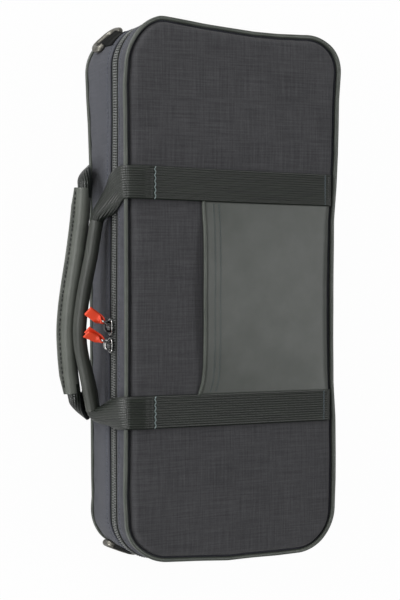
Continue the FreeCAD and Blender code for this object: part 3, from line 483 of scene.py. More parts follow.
# Bright metal for a ring round each slider's rim: a painted highlight where the black slider's edge shines.
SLIDER_RIM_PAINTED_HIGHLIGHT = metal("slider_rim_painted_highlight", (0.42, 0.42, 0.41), (0.62, 0.62, 0.60), 0.18)
LINK_METAL = metal("link_metal", (0.25, 0.25, 0.245), (0.45, 0.45, 0.44), 0.2)
THREAD = plain_thread("side_thread", (0.050, 0.056, 0.075), (0.120, 0.130, 0.165))
DARK_THREAD = plain_thread("grip_thread", (0.008, 0.009, 0.009), (0.022, 0.024, 0.023))
POCKET_THREAD = plain_thread("pocket_thread", (0.030, 0.045, 0.046), (0.070, 0.095, 0.095))
TACK_THREAD = plain_thread("tack_thread", (0.035, 0.050, 0.058), (0.085, 0.11, 0.125))
LIGHT_THREAD = plain_thread("light_tack_thread", (0.13, 0.17, 0.17), (0.26, 0.32, 0.32))
BED_PLUSH = plush("bed_plush", (0.010, 0.010, 0.012), (0.035, 0.035, 0.040))
BOARD = board("shell_board", (0.02, 0.02, 0.022), (0.04, 0.04, 0.043))


def finish_piece(piece, material, slot, body, *nodes):
    piece.data.materials.clear()
    piece.data.materials.append(material)
    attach(piece, body)
    if nodes:
        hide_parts(*nodes)


# Side bands, with a turned edge at the zipper and a sewn line beside it
BASE_STITCH_Z, LID_STITCH_Z = 51.6, 78.8


def base_ripple(run, level):
    seam = np.exp(-((level - 7.5) / 4.5) ** 2)
    body = clamp((level - 7) / 8) * clamp((57.0 - level) / 6) * away_from_start(run)
    return 0.22 * seam * puckers(run, 56, 1.4, 8) + body * waves(run, level, 4, (38, 70, 120), 0.55)


def lid_ripple(run, level):
    seam = np.exp(-((level - 89.0) / 3.5) ** 2)
    body = clamp((90 - level) / 4) * clamp((level - 75.4) / 4) * away_from_start(run)
    return 0.18 * seam * puckers(run, 60, 1.1, 9) + body * waves(run, level, 9, (30, 60, 110), 0.35)


BASE_BAND = ((4.6, 6.45), (2.8, 6.2), (1.9, 5.5), (1.2, 5.15), (0.7, 5.45), (0.3, 6.2), (0.1, 7.2), (0, 8.4),
             (-0.3, 12), (-0.55, 17), (-0.75, 23), (-0.85, 30), (-0.8, 37), (-0.65, 43), (-0.4, 48),
             (-0.15, 50.6), (0.05, BASE_STITCH_Z), (-0.12, 52.6), (-0.2, 54.4), (-0.15, 56.2), (0.05, 57),
             (0.45, 57.45), (0.9, 57.5), (1.25, 57.2), (1.35, 56.4), (1.35, 52))
LID_BAND = ((1.35, 80), (1.35, 75.8), (1.25, 75), (0.9, 74.7), (0.45, 74.75), (0.05, 75.2), (-0.15, 76),
            (-0.15, 77.6), (0.05, LID_STITCH_Z), (-0.2, 80), (-0.35, 82.5), (-0.35, 85), (-0.1, 87.6),
            (0.1, 89), (0.3, 90), (0.7, 90.75), (1.2, 91.05), (1.9, 90.7), (2.8, 90), (4.8, 89.75))
finish_piece(band("base_side_cloth", BASE_BAND, ripple=base_ripple), SIDE_CLOTH_PAINTED_SHADE, "woven_charcoal", "base",
             "base_gusset")
finish_piece(band("lid_side_cloth", LID_BAND, ripple=lid_ripple), LID_SIDE_CLOTH_PAINTED_SHADE, "woven_charcoal", "lid",
             "lid_gusset")


def along_outline(distances):
    """Points, outward normals and forward directions at distances along the outline."""
    def at(runs):
        runs = runs % OUT_S[-1]
        index = np.clip(np.searchsorted(OUT_S, runs, side="right") - 1, 0, len(OUT) - 1)
        share = ((runs - OUT_S[index]) / (OUT_S[index + 1] - OUT_S[index]))[:, None]
        after = (index + 1) % len(OUT)
        return OUT[index] * (1 - share) + OUT[after] * share, OUT_N[index] * (1 - share) + OUT_N[after] * share

    place, normal = at(distances)
    return place, unit(normal), unit(at(distances + 0.5)[0] - place)


def sewn_line(name, level, inset, body, pitch=1.75, rise=2.6, length=2.9, radius=0.34):
    """A zigzag line of thread along a side band."""
    place, normal, along = along_outline(np.arange(0, OUT_S[-1] - pitch / 2, pitch))
    points = soft_side(at_level(place - normal * inset, level))
    runs = at_level(along, np.where(np.arange(len(along)) % 2, rise, -rise))
    line = threads(name, points, runs, at_level(normal, 0.0), length, radius)
    finish_piece(line, THREAD, "woven_charcoal", body)


sewn_line("base_side_stitching", BASE_STITCH_Z, -0.28, "base")
sewn_line("lid_side_stitching", LID_STITCH_Z, -0.25, "lid")

# Zipper: tapes, teeth and the fabric behind the zipper's ends
ZIP = slice(0, STOP + 1)
TAPE_OUT, TAPE_IN = 1.45, 2.15


def tape(name, low, high, body, cad):
    profile = [(TAPE_OUT, z) for z in (low, (low + high) / 2, high)] + [(TAPE_IN, high), (TAPE_IN, low)]
    finish_piece(band(name, profile, ZIP, closed=False), TAPE, "zipper_tape", body, cad)


tape("base_tape_cloth", 49.7, 65.25, "base", "base_zipper_tape")
tape("lid_tape_cloth", 66.95, 82.5, "lid", "lid_zipper_tape")


def teeth(name, middle, way, body, cad, pitch=1.9):
    """One row of moulded teeth on its cord. Their heads reach between those of the other row."""
    place, normal, along = along_outline(np.arange(2.0, OUT_S[STOP] - 2.0, pitch))
    points = soft_side(at_level(place - normal * 0.35 + along * (pitch * 0.13 * way), middle))
    runs = at_level(along * 0.48, 4.6)
    row = threads(name, points, runs, at_level(normal, 0.0), 4.7, 0.66)
    finish_piece(row, TEETH_PAINTED_HIGHLIGHT, "zipper_teeth", body, cad)
    cord = [(0.95 - 0.5 * math.cos(a), middle - way * 1.75 + 0.5 * math.sin(a)) for a in circle(8)]
    cord = band(f"{name}_cord", cord, ZIP, closed=False, v=np.linspace(0, 3, 9))
    finish_piece(cord, TAPE, "zipper_tape", body)


teeth("base_teeth", 64.2, 1.0, "base", "base_zipper_coil")
teeth("lid_teeth", 68.0, -1.0, "lid", "lid_zipper_coil")


def hinge_cloth():
    """Cloth between base and lid along the hinge side."""
    levels = np.concatenate([[50.0, 54.0, 57.0], np.linspace(58.5, 73.7, 9), [75.2, 78.2, 82.2]])
    sag = 0.35 * clamp(1 - ((levels - ZIPPER_Z) / 8.0) ** 2)
    outer, inner = (np.stack([inset + sag, levels], axis=1) for inset in (1.5, TAPE_IN))
    profile = np.concatenate([outer, inner[::-1]])
    piece = band("hinge_cloth", profile, slice(STOP, None), closed=False,
                 v=np.concatenate([levels, levels[::-1], levels[:1]]))
    piece.data.materials.append(TAPE)
    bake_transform(piece)
    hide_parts("fabric_hinge")


hinge_cloth()


# Piping
def cord_cover(name, level, body, cad, count=12):
    run = OUT_S[:-1]
    wobble = 0.05 * np.sin(round_trip(run, 10) + 2) + 0.04 * np.sin(round_trip(run, 24))
    radius = 1.5 + 0.35 * clamp(OUT_N[:, 1]) + wobble
    rows = [at_level(OUT - OUT_N * (0.05 - radius * math.cos(a))[:, None], level + radius * math.sin(a))
            for a in circle(count)]
    piece = grid_mesh(name, soft_side(rows), OUT_S, np.linspace(0, TURN * 1.5, count + 1),
                      wrap_rows=True, wrap_columns=True)
    finish_piece(piece, PIPING_LEATHER, "piping_leather", body, cad)


cord_cover("base_piping_cover", BASE_PIPING_Z, "base", "base_piping")
cord_cover("lid_piping_cover", LID_PIPING_Z, "lid", "lid_piping")


# Padded panels
STRAP_Y = (-84, -62, 0, 76, 84)
STRAP_DRIFT = {"upper": (1.4, 1.9, 3.6, 5.2, 5.3), "lower": (0.6, 0.8, 1.5, 2.3, 2.4)}


def strap_shift(end, y):
    return np.interp(y, STRAP_Y, STRAP_DRIFT[end])


def drift(x, y):
    """How far the straps and what lies between them have slid towards the lower end."""
    share = clamp((np.asarray(x) - STRAPS["upper"]) / (STRAPS["lower"] - STRAPS["upper"]))
    return (1 - share) * strap_shift("upper", y) + share * strap_shift("lower", y)


def strap_press(x, y):
    """How firmly a sewn strap holds the padding down at a place, from 0 to 1."""
    press = 0
    for end, middle in STRAPS.items():
        press = np.maximum(press, 1.35 - np.abs(x - middle - strap_shift(end, y)) / 19.0)
    return clamp(press) * clamp((y + 84) / 6) * clamp((84 - y) / 5)


def panel(name, face, seat, crown, body, cad, seed, edge, reach):
    """A padded panel inside the piping: closed, crowned and drawn down at its rim."""
    way, depth, rim = math.copysign(1.0, face - seat), abs(face - seat), 3.7
    rings = []
    for inset in (rim, 3.72, 3.8, 4.0, 4.4, 5.0, 5.8, 6.9, 8.2, 10.0, 12.5, 15.5, 19, 23):
        further = np.abs(OUT_N[:, 0]) * reach * max(0.0, 1 - (inset - rim) / 8)
        rings.append(at_level(OUT - OUT_N * (inset - further)[:, None], inset))
    inner = rings[-1][:, :2]
    rings += [at_level(inner * (1 - share), 23 + share * 60) for share in np.linspace(0, 1, 17)[1:-1]]
    x, y, inset = np.array(rings).transpose(2, 0, 1)
    rise = clamp((inset - rim) / edge)
    height = (depth - 0.6) * np.sqrt(clamp(1 - (1 - rise) ** 2)) + 0.5
    middle = clamp(1 - (x / 190) ** 2) * clamp(1 - (y / 78) ** 2)
    press = strap_press(x, y)
    fade = clamp((inset - 4.5) / 8)
    height = height + fade * (1 - press) * (crown * middle ** 0.6 + waves(x, y, seed, (34, 60, 110), 0.42))
    height = height - 0.55 * fade * press
    seam = np.exp(-((inset - 5.4) / 2.6) ** 2) * 0.16
    height = height + seam * puckers(np.broadcast_to(OUT_S[:-1], x.shape), 43, 1.7, 6)
    height = np.concatenate([np.full_like(height[:1], 0.08), height])
    x, y = np.concatenate([x[:1], x]), np.concatenate([y[:1], y])
    points = soft_side(np.stack([x, y, seat + way * height], axis=-1))
    rows, columns = x.shape
    top, under = rows * columns, rows * columns + 1
    verts = list(points.reshape(-1, 3))
    verts += [(0.0, 0.0, seat + way * (depth - 0.1 + crown)), (0.0, 0.0, seat + way * 0.08)]
    around = [(c, (c + 1) % columns) for c in range(columns)]
    faces = [(r + c, r + after, r + columns + after, r + columns + c)
             for r in range(0, top - columns, columns) for c, after in around]
    faces += [(top - columns + c, top - columns + after, top) for c, after in around]
    faces += [(after, c, under) for c, after in around]
    piece = make_mesh(name, verts, faces, [verts[i][:2] for corners in faces for i in corners])
    finish_piece(piece, PANEL_CLOTH, "woven_charcoal", body, cad)


panel("lid_padding", 95.5, 89.85, 1.3, "lid", "lid_panel", 21, edge=4.4, reach=1.1)
panel("base_padding", 0.0, 6.35, 0.0, "base", "back_panel", 33, edge=4.0, reach=0.0)


# Straps that turn over the edge and become the handles' webbing
def smooth_path(points, count):
    """A smooth curve through points, evenly spaced."""
    points = np.asarray(points, float)
    padded = np.concatenate([[2 * points[0] - points[1]], points, [2 * points[-1] - points[-2]]])
    curve = []
    for i in range(len(points) - 1):
        a, b, c, d = padded[i:i + 4]
        for t in np.linspace(0, 1, 24, endpoint=False):
            bend = (2 * a - 5 * b + 4 * c - d) * t ** 2 + (3 * b - a - 3 * c + d) * t ** 3
            curve.append(0.5 * (2 * b + (c - a) * t + bend))
    curve = np.array(curve + [points[-1]])
    run = run_along(curve)
    where = np.linspace(0, run[-1], count)
    return np.stack([np.interp(where, run, curve[:, k]) for k in range(3)], axis=1), where


def strip(name, path, curl=None, half_width=STRAP_HALF, half_thick=0.9, step=1.2, first_across=(1, 0, 0)):
    """A webbing strip along a path. curl gives how it rolls up across its width at a share of its run, and the
    path is the middle of what it has rolled up around."""
    line, run = smooth_path(path, int(run_along(path)[-1] / step) + 2)
    tangent = unit(np.gradient(line, axis=0))
    across = np.array(first_across, float)
    v = np.linspace(-1, 1, 19) * half_width
    v = np.concatenate([v, [half_width + 0.35], v[::-1], [-half_width - 0.35]])
    w = half_thick * np.repeat([1, 0, -1, 0], [19, 1, 19, 1])
    rows = []
    for middle, t, share in zip(line, tangent, run / run[-1]):
        across = unit(across - t * np.dot(across, t))
        normal = np.cross(across, t)
        k = curl(share) if curl else 0.0
        angle, side, lift = k * v, v, 0 * v
        if abs(k) > 1e-4:
            turn = k * half_width
            middle = middle + normal * (1 - math.sin(turn) / turn) / -k
            side, lift = np.sin(angle) / k, (1 - np.cos(angle)) / k
        side, lift = side - w * np.sin(angle), lift + w * np.cos(angle)
        rows.append(middle + np.outer(side, across) + np.outer(lift, normal))
    return grid_mesh(name, np.array(rows).transpose(1, 0, 2), np.append(run, run[-1] + step),
                     np.append(v, v[0]), wrap_rows=True, caps=True)


# The middle of each grip, as x and y at its height
GRIP_Z = {"front": 54.1, "rear": 41.1}
GRIP_LINE = {
    "front": ((-54.2, -94.5), (-43.9, -96.2), (-29.2, -98.6), (-18.2, -101), (-7.1, -103.3), (7.5, -105.9),
              (22.3, -107.6), (32, -107.6), (40, -106.8), (49, -105.1), (60.2, -102.7), (77.4, -99.5),
              (86, -97.8)),
    "rear": ((-78.9, -100.2), (-70, -100.6), (-58.8, -101.5), (-43.2, -103.4), (-25.4, -106), (-7.5, -109),
             (10.3, -111.5), (26.7, -112.7), (43.1, -112.2), (57.4, -111), (74, -109)),
}
# From the edge of the case to the grip
ARMS = {
    ("front", "upper"): ((-81.5, -84.5, 94.6), (-81.2, -87, 92), (-80, -88.5, 88), (-77, -89.6, 82),
                         (-70.6, -91.2, 72.5), (-64.2, -93, 63.5), (-59.6, -94, 57.2)),
    ("front", "lower"): ((83.7, -84.5, 94.6), (84, -87, 92), (84.7, -88.9, 88), (86, -91, 79),
                         (87.4, -93, 70), (88.8, -95.2, 62), (88.6, -96.6, 57)),
    ("rear", "upper"): ((-83.6, -86.6, 3.4), (-85.2, -89.3, 9), (-86.6, -92.4, 17), (-86.6, -95.8, 26),
                        (-84.6, -98.8, 34.4), (-81.8, -99.8, 39.2)),
    ("rear", "lower"): ((84, -86.6, 3.4), (86.2, -89.3, 9), (87.2, -94.5, 17.5), (84.8, -100.8, 27),
                        (80.6, -106.2, 35.2), (77.4, -108, 39.4)),
}
# The sewn part of each strap, as y and z, from the hinge side to the handles
SEWN = {
    "front": ((78.3, 94.4), (77, 95.6), (74, 96.5), (60, 96.7), (40, 96.8), (0, 96.9), (-40, 96.9), (-64, 96.9),
              (-67.5, 97.7), (-70.5, 98.05), (-73.5, 97.8), (-77, 96.9), (-81, 95.8)),
    "rear": ((79.6, 0.9), (40, 0.9), (0, 0.9), (-40, 0.9), (-66, 0.9), (-78, 0.9), (-83.6, 1.3)),
}


def grip_line(side, count):
    return smooth_path([(x, y, GRIP_Z[side]) for x, y in GRIP_LINE[side]], count)


def handle_strap(side, end):
    """One strap: sewn along its panel, turned over the edge and rolled up into the grip."""
    x = STRAPS[end]
    line, _ = grip_line(side, 120)
    first, second = (line[0], line[6]) if end == "upper" else (line[-1], line[-7])
    flat = [(x + (strap_shift(end, y) if side == "front" else 0.0), y, z) for y, z in SEWN[side]]
    path = [*flat, *ARMS[side, end], first, first + unit(second - first) * 7.0]
    shares = run_along(path) / run_along(path)[-1]
    start, finish = shares[len(flat)], shares[-2]
    full, power = (0.245, 1.7) if side == "front" else (-0.225, 1.3)

    def curl(share):
        return full * clamp((share - start) / (finish - start)) ** power

    piece = strip(f"{side}_strap_{end}_webbing", path, curl)
    piece.data.materials.append(BLACK_WEBBING)
    if side == "front":
        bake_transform(piece)
        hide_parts(f"front_strap_{end}", "front_handle_webbing")
    else:
        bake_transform(piece)
        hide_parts(f"rear_strap_{end}", "rear_handle_webbing")


for side_name in ("front", "rear"):
    for end_name in ("upper", "lower"):
        handle_strap(side_name, end_name)


def bar_tack(name, x, y, z, count, length, thread):
    """A zigzag row of thread across a strap."""
    x = x + float(drift(x, y))
    places = [(v, y, z) for v in np.linspace(x - STRAP_HALF + 1.0, x + STRAP_HALF - 1.0, count)]
    runs = [np.array([1.0, 0.5 if i % 2 else -0.5, 0]) for i in range(count)]
    ups = [np.array([0, 0, 1.0])] * count
    finish_piece(threads(name, np.array(places), runs, ups, length, 0.42), thread, "black_webbing", "lid")


for end_name, strap_x in STRAPS.items():
    bar_tack(f"lid_tack_{end_name}", strap_x, -64.6, 98.1, 11, 2.6, LIGHT_THREAD)
    bar_tack(f"lid_seam_tack_{end_name}", strap_x, 72.5, 97.5, 17, 1.9, TACK_THREAD)


def grip(side, body, cover, radii, fin, leans, seed):
    """A leather sleeve sewn together along one edge, over the rolled webbing."""
    line, run = grip_line(side, 150)
    tangent = unit(np.gradient(line, axis=0))
    last, half, up = len(line) - 1, 1.0, np.array([0, 0, 1.0])
    wide, deep = radii

    def frame_at(i):
        """The run, the way to the sewn edge and across it, and how far the sleeve reaches in a direction."""
        t = tangent[i]
        out = unit(np.cross(t, up))
        out = -out if out[1] > 0 else out
        lean = math.radians(np.interp(i / last, (0, 0.5, 1), leans))
        to_edge = out * math.cos(lean) - up * math.sin(lean)
        return t, to_edge, np.cross(t, to_edge), lambda way: 1 / math.hypot(way @ out / wide, way @ up / deep)

    root = math.asin(half / deep) + 0.10
    angles = np.linspace(root, TURN - root, 34)
    creases = waves(run, 0 * run, seed, (8, 15, 30), 0.17)
    ends = [(0, 4.5, 0.76), (0, 0.4, 0.80), (0, -0.1, 0.90), (0, 0.05, 0.98)]
    plan = ends + [(i, 0.0, 1.0) for i in range(1, last)]
    plan += [(last, -shift, k) for _, shift, k in reversed(ends)]
    rings = []
    for i, shift, scale in plan:
        t, to_edge, across, reach = frame_at(i)
        middle, edge = line[i] + t * shift, reach(to_edge)
        grown = fin * min(1.0, 0.45 + 0.55 * min(run[i], run[-1] - run[i]) / 14.0)
        ring = []
        for j, a in enumerate(angles):
            way = to_edge * math.cos(a) + across * math.sin(a)
            swell = creases[i] * (0.5 + 0.5 * math.sin(j * 0.55 + run[i] / 21.0)) if scale == 1.0 else 0.0
            ring.append(middle + way * (reach(way) * scale + swell))
        face = [(-0.35, 0.75), (0.45, 0.8), (grown * 0.55, 1.0), (grown - 0.35, 1.0), (grown, 0.5)]
        k = scale if scale < 0.96 else 1.0
        for a, b in [(a, -b) for a, b in face] + face[::-1]:
            ring.append(middle + to_edge * (edge + a) * k + across * b * half * k)
        rings.append(ring)
    lengths = np.concatenate([[-4, -1, -0.5, 0], run[1:-1], run[-1] + np.array([0, 0.5, 1, 4, 5])])
    points = np.array(rings).transpose(1, 0, 2)
    piece = grid_mesh(f"{side}_grip_leather", points, lengths, np.linspace(0, TURN * deep, len(points) + 1),
                      wrap_rows=True, caps=True)
    finish_piece(piece, cover, "olive_leather", body, f"{side}_handle_grip")
    stitches = []
    for d in np.arange(4.0, run[-1] - 3.0, 3.5):
        i = int(np.clip(np.searchsorted(run, d), 1, last - 1))
        t, to_edge, across, reach = frame_at(i)
        for face in (across, -across):
            stitches.append((line[i] + to_edge * (reach(to_edge) + 0.62) + face * (half + 0.10), t, face))
    seam = threads(f"{side}_grip_stitching", *zip(*stitches), 2.5, 0.42)
    finish_piece(seam, DARK_THREAD, "olive_leather", body)


# The front grip takes the painted-shade copy of the leather, the rear grip the painted-light copy.
grip("front", "front_handle", FRONT_GRIP_LEATHER_PAINTED_SHADE, (5.0, 5.6), 2.6, (112, 118, 165), 5)
grip("rear", "rear_handle", REAR_GRIP_LEATHER_PAINTED_LIGHT, (5.7, 5.75), 3.0, (17, 17, 17), 8)


# Leather pocket between the straps
POCKET_HALF = STRAPS["lower"] - STRAP_HALF + 0.6
POCKET_END, POCKET_THICK = 78.6, 1.4
MOUTH_X = (-72.2, -66, -60, -50, -35, 0, 35, 50, 60, 65, 72.2)
MOUTH_Y = (-26.2, -26.4, -26.3, -26.2, -26.6, -27.3, -26.7, -26.4, -26.8, -27.6, -29.6)


def pocket_height(x, share):
    """Height of the pocket's leather above the lid, at a share of the way from its mouth to its seam."""
    rise = 4.8 * (1 - share) ** 1.2 + 1.1 - 2.0 * clamp((share - 0.93) / 0.07) ** 2
    side = clamp(np.abs(x) / POCKET_HALF)
    arch = (1 - side ** 2) * (1 - 0.25 * side ** 4)
    return 95.6 + rise * arch - 1.4 * clamp((share - 0.95) / 0.05) ** 2


def mouth_bow(x):
    """Where the mouth runs. It is drawn back at its ends."""
    return np.interp(x, MOUTH_X, MOUTH_Y)


def slid(places):
    """The pocket follows the straps."""
    places = np.array(places, float)
    places[..., 0] += drift(places[..., 0], places[..., 1])
    return soft_side(places)


def pocket():
    xs = np.linspace(-POCKET_HALF, POCKET_HALF, 72)
    shares = np.linspace(0, 1, 52)
    u = np.append(xs, xs[-1])
    grid = []
    for share in shares:
        y = mouth_bow(xs) * (1 - share) + POCKET_END * share
        swell = waves(xs, y, 41, (26, 48, 90), 0.28) * clamp((1 - (xs / POCKET_HALF) ** 2) * 3)
        grid.append(np.stack([xs, y, pocket_height(xs, share) + swell], axis=1))
    grid = np.array(grid)
    points = np.concatenate([grid + (0, 0, POCKET_THICK), grid[::-1]])
    v = np.concatenate([shares, shares[::-1], shares[:1]]) * 105.5
    piece = grid_mesh("pocket_leather", slid(points), u, v, wrap_rows=True, caps=True)
    finish_piece(piece, POCKET_LEATHER, "olive_leather", "lid", "pocket_panel")
    # Rolled edge
    middle_y, middle_z = mouth_bow(xs) - 0.4, pocket_height(xs, 0.0) + 0.9
    rows = [np.stack([xs, middle_y + 1.35 * math.cos(a), middle_z + 1.35 * math.sin(a)], axis=1)
            for a in circle(12)]
    edge = grid_mesh("pocket_rolled_edge", slid(rows), u, np.linspace(0, 10, 13), wrap_rows=True, caps=True)
    finish_piece(edge, PIPING_LEATHER, "piping_leather", "lid", "pocket_binding")
    # Zigzag lines beside the mouth
    stitches = []
    for back in (7.4, 11.6):
        for i, x in enumerate(np.arange(-POCKET_HALF + 3, POCKET_HALF - 2, 1.7)):
            y = mouth_bow(x)
            before, z, after = (float(pocket_height(x + d, back / (POCKET_END - y))) for d in (-0.5, 0, 0.5))
            slope = after - before
            run = np.array([1.0, 1.1 if i % 2 else -1.1, slope])
            stitches.append(((x, y + back, z + POCKET_THICK + 0.1), run, np.array([-slope, 0, 1.0])))
    places, runs, ups = zip(*stitches)
    lines = threads("pocket_stitching", slid(places), runs, ups, 2.0, 0.26)
    finish_piece(lines, POCKET_THREAD, "olive_leather", "lid")


pocket()

# Red pull tabs, each a strip folded over its link
PULL_X = {"upper": 23.3, "lower": 36.6}
SLIDER_Z = ZIPPER_Z - 1.4
TAB_START, TAB_LENGTH = 7.8, 12.5


def pull_tab(end, lean, spreads, turn, fold=1.65, closed=0.68):
    """lean turns the tab about the slider's pin, spreads opens its leaves and turn twists it, in degrees."""
    angle = math.radians(-lean)
    origin = np.array([PULL_X[end], -88.4, SLIDER_Z])
    x_axis = np.array([math.cos(angle), math.sin(angle), 0])
    y_axis = np.array([-math.sin(angle), math.cos(angle), 0])
    leaves = []
    for opening, way in zip(spreads, (-1, 1)):
        c, s = math.cos(math.radians(opening)), math.sin(math.radians(opening))
        leaf = []
        for t in np.linspace(TAB_LENGTH, 0, 9):
            width = closed + (fold - closed) * math.exp(-(t / 3.2) ** 2)
            leaf.append((way * (width * c + t * s), -TAB_START - t * c))
        leaves.append(leaf)
    bend = [(fold * math.cos(a), fold * math.sin(a) - TAB_START) for a in np.linspace(math.pi, 0, 9)[1:-1]]
    line = [origin + x_axis * a + y_axis * b for a, b in leaves[0] + bend + leaves[1][::-1]]
    piece = strip(f"pull_tab_{end}_leather", line, half_width=3.4, half_thick=0.62, step=0.6,
                  first_across=(0, 0, 1))
    for vertex in piece.data.vertices:
        place = np.array(vertex.co) / MM - origin
        out = -(place @ y_axis)
        angle = math.radians(turn) * min(max((out - 7.0) / 5.0, 0), 1)
        a, b = place @ x_axis, place[2]
        a, b = a * math.cos(angle) - b * math.sin(angle), a * math.sin(angle) + b * math.cos(angle)
        vertex.co = Vector((origin + x_axis * a - y_axis * out + np.array([0, 0, b])) * MM)
    finish_piece(piece, RED_LEATHER, "red_leather", f"{end}_pull", f"pull_tab_{end}")


pull_tab("upper", 36.0, (0.5, 0.5), 62.0)
pull_tab("lower", 30.0, (7.0, 9.0), 44.0)


def ring_tab(end, sign, degrees, seat=0.75, loop=3.3, radius=2.95):
    """Doubled webbing sewn around a corner of the base, with a loop for the ring. It is flat at the loop."""
    centre = np.array([sign * (HALF_LENGTH - CORNER), CORNER - HALF_WIDTH])
    middle = math.radians(degrees)

    def outward(angle):
        return np.array([sign * math.sin(angle), -math.cos(angle)])

    tangent = np.array([sign * math.cos(middle), math.sin(middle)])
    profile = [(0.9, 49.6), (1.6, 50.3), (2.4, 49.9), (2.7, 47), (2.5, 44), (2.7, 41), (4.2, 38.4)]
    profile += [(loop + radius * math.cos(a), 33.0 + radius * math.sin(a))
                for a in np.linspace(0.9, 0.6 - math.pi, 12)]
    profile += [(0.6, 34.5), (0.5, 40), (0.5, 46)]
    widths = np.linspace(-7.5, 7.5, 13)
    rows = []
    for out, z in profile:
        share = min(max((39 - z) / 5, 0), 1)
        ring = []
        for w in widths:
            flat = outward(middle) * (CORNER + seat * (1 - share) + out) + tangent * w
            bent = outward(middle + w / (CORNER + 2)) * (CORNER + seat + out)
            ring.append((*(centre + bent * (1 - share) + flat * share), z))
        rows.append(ring)
    lengths = run_along(profile)
    piece = grid_mesh(f"ring_tab_{end}_webbing", np.array(rows), np.append(widths, widths[-1]),
                      np.append(lengths, lengths[-1] + 2), wrap_rows=True, caps=True)
    finish_piece(piece, TAB_WEBBING, "black_webbing", "base", f"ring_tab_{end}")


ring_tab("upper", -1.0, 48.0)
ring_tab("lower", 1.0, 66.0)


# Inside: shells, padded bed and lining, copied from their solids, softened and bent with the sides
def cut_flats(mesh):
    """Cuts a solid's long flat walls into strips, so that they can bend with the sides."""
    cuts = [((1, 0, 0), x) for x in range(-188, 189, 16)] + [((0, 1, 0), y) for y in range(-75, 76, 15)]
    cuts += [((0, 0, 1), z) for z in range(8, 99, 9)]
    work = bmesh.new()
    work.from_mesh(mesh)
    for normal, place in cuts:
        everything = work.verts[:] + work.edges[:] + work.faces[:]
        bmesh.ops.bisect_plane(work, geom=everything, plane_co=Vector(normal) * place * MM, plane_no=normal)
    work.to_mesh(mesh)
    work.free()


def softened(name, cad, body, material, slot, voxel=None, relax=0):
    piece = copy_solid(name, cad)
    if voxel:
        remesh = piece.modifiers.new("soften", "REMESH")
        remesh.mode = "VOXEL"
        remesh.voxel_size = voxel * MM
        settle = piece.modifiers.new("relax", "SMOOTH")
        settle.iterations = relax
        settle.factor = 0.5
        graph = bpy.context.evaluated_depsgraph_get()
        done = bpy.data.meshes.new_from_object(piece.evaluated_get(graph))
        piece.modifiers.clear()
        piece.data = done
        smooth(done)
    else:
        cut_flats(piece.data)
    co = np.zeros(len(piece.data.vertices) * 3, np.float32)
    piece.data.vertices.foreach_get("co", co)
    moved = soft_side(co.reshape(-1, 3).astype(float) / MM) * MM
    piece.data.vertices.foreach_set("co", moved.astype(np.float32).ravel())
    piece.data.update()
    finish_piece(piece, material, slot, body, cad)


softened("base_board", "base_shell", "base", BOARD, "shell_board")
softened("lid_board", "lid_shell", "lid", BOARD, "shell_board")
softened("padded_bed", "instrument_bed", "base", BED_PLUSH, "plush_bed", voxel=2.6, relax=6)
softened("lid_padding_inside", "lid_lining", "lid", BED_PLUSH, "plush_lining", voxel=1.6, relax=3)


# Rings keep their solids' shapes, a little lifted and rounder
def ring(end, pin, axis, lift, grow):
    piece = copy_solid(f"d_ring_{end}_metal", f"d_ring_{end}")
    place = Matrix.Translation(Vector(pin))
    turn = place @ Matrix.Rotation(math.radians(lift), 4, Vector(axis)) @ place.inverted()
    normals = [vertex.normal.copy() for vertex in piece.data.vertices]
    for vertex, normal in zip(piece.data.vertices, normals):
        vertex.co = turn @ (vertex.co + normal * grow * MM)
    smooth(piece.data)
    finish_piece(piece, RING_METAL, "ring_metal", f"{end}_ring", f"d_ring_{end}")


# Sliders: two oval plates with a rim ring painted bright as a highlight, the wedge between them and the arch
# that carries the link
def oval_rim(count, power=2.4):
    """The rim of an oval of half sizes 1, and the way outwards at each of its points."""
    angles = circle(count)
    c, s = np.cos(angles), np.sin(angles)
    shape = (np.abs(c) ** power + np.abs(s) ** power) ** (-1 / power)
    return c * shape, s * shape, c, s


def oval(name, centre, half_x, half_z, stations, body):
    """A closed oval plate. Each station gives the share of its size and how far out it lies."""
    x, z, _, _ = oval_rim(36)
    rows = [np.stack([centre[0] + x * half_x * k, np.full(36, centre[1] - out),
                      centre[2] + z * half_z * k], axis=1) for k, out in stations]
    piece = grid_mesh(name, np.array(rows), np.linspace(0, 30, 37), np.arange(len(rows) + 1),
                      wrap_columns=True, caps=True)
    finish_piece(piece, SLIDER_METAL, "slider_metal", body)
    return piece


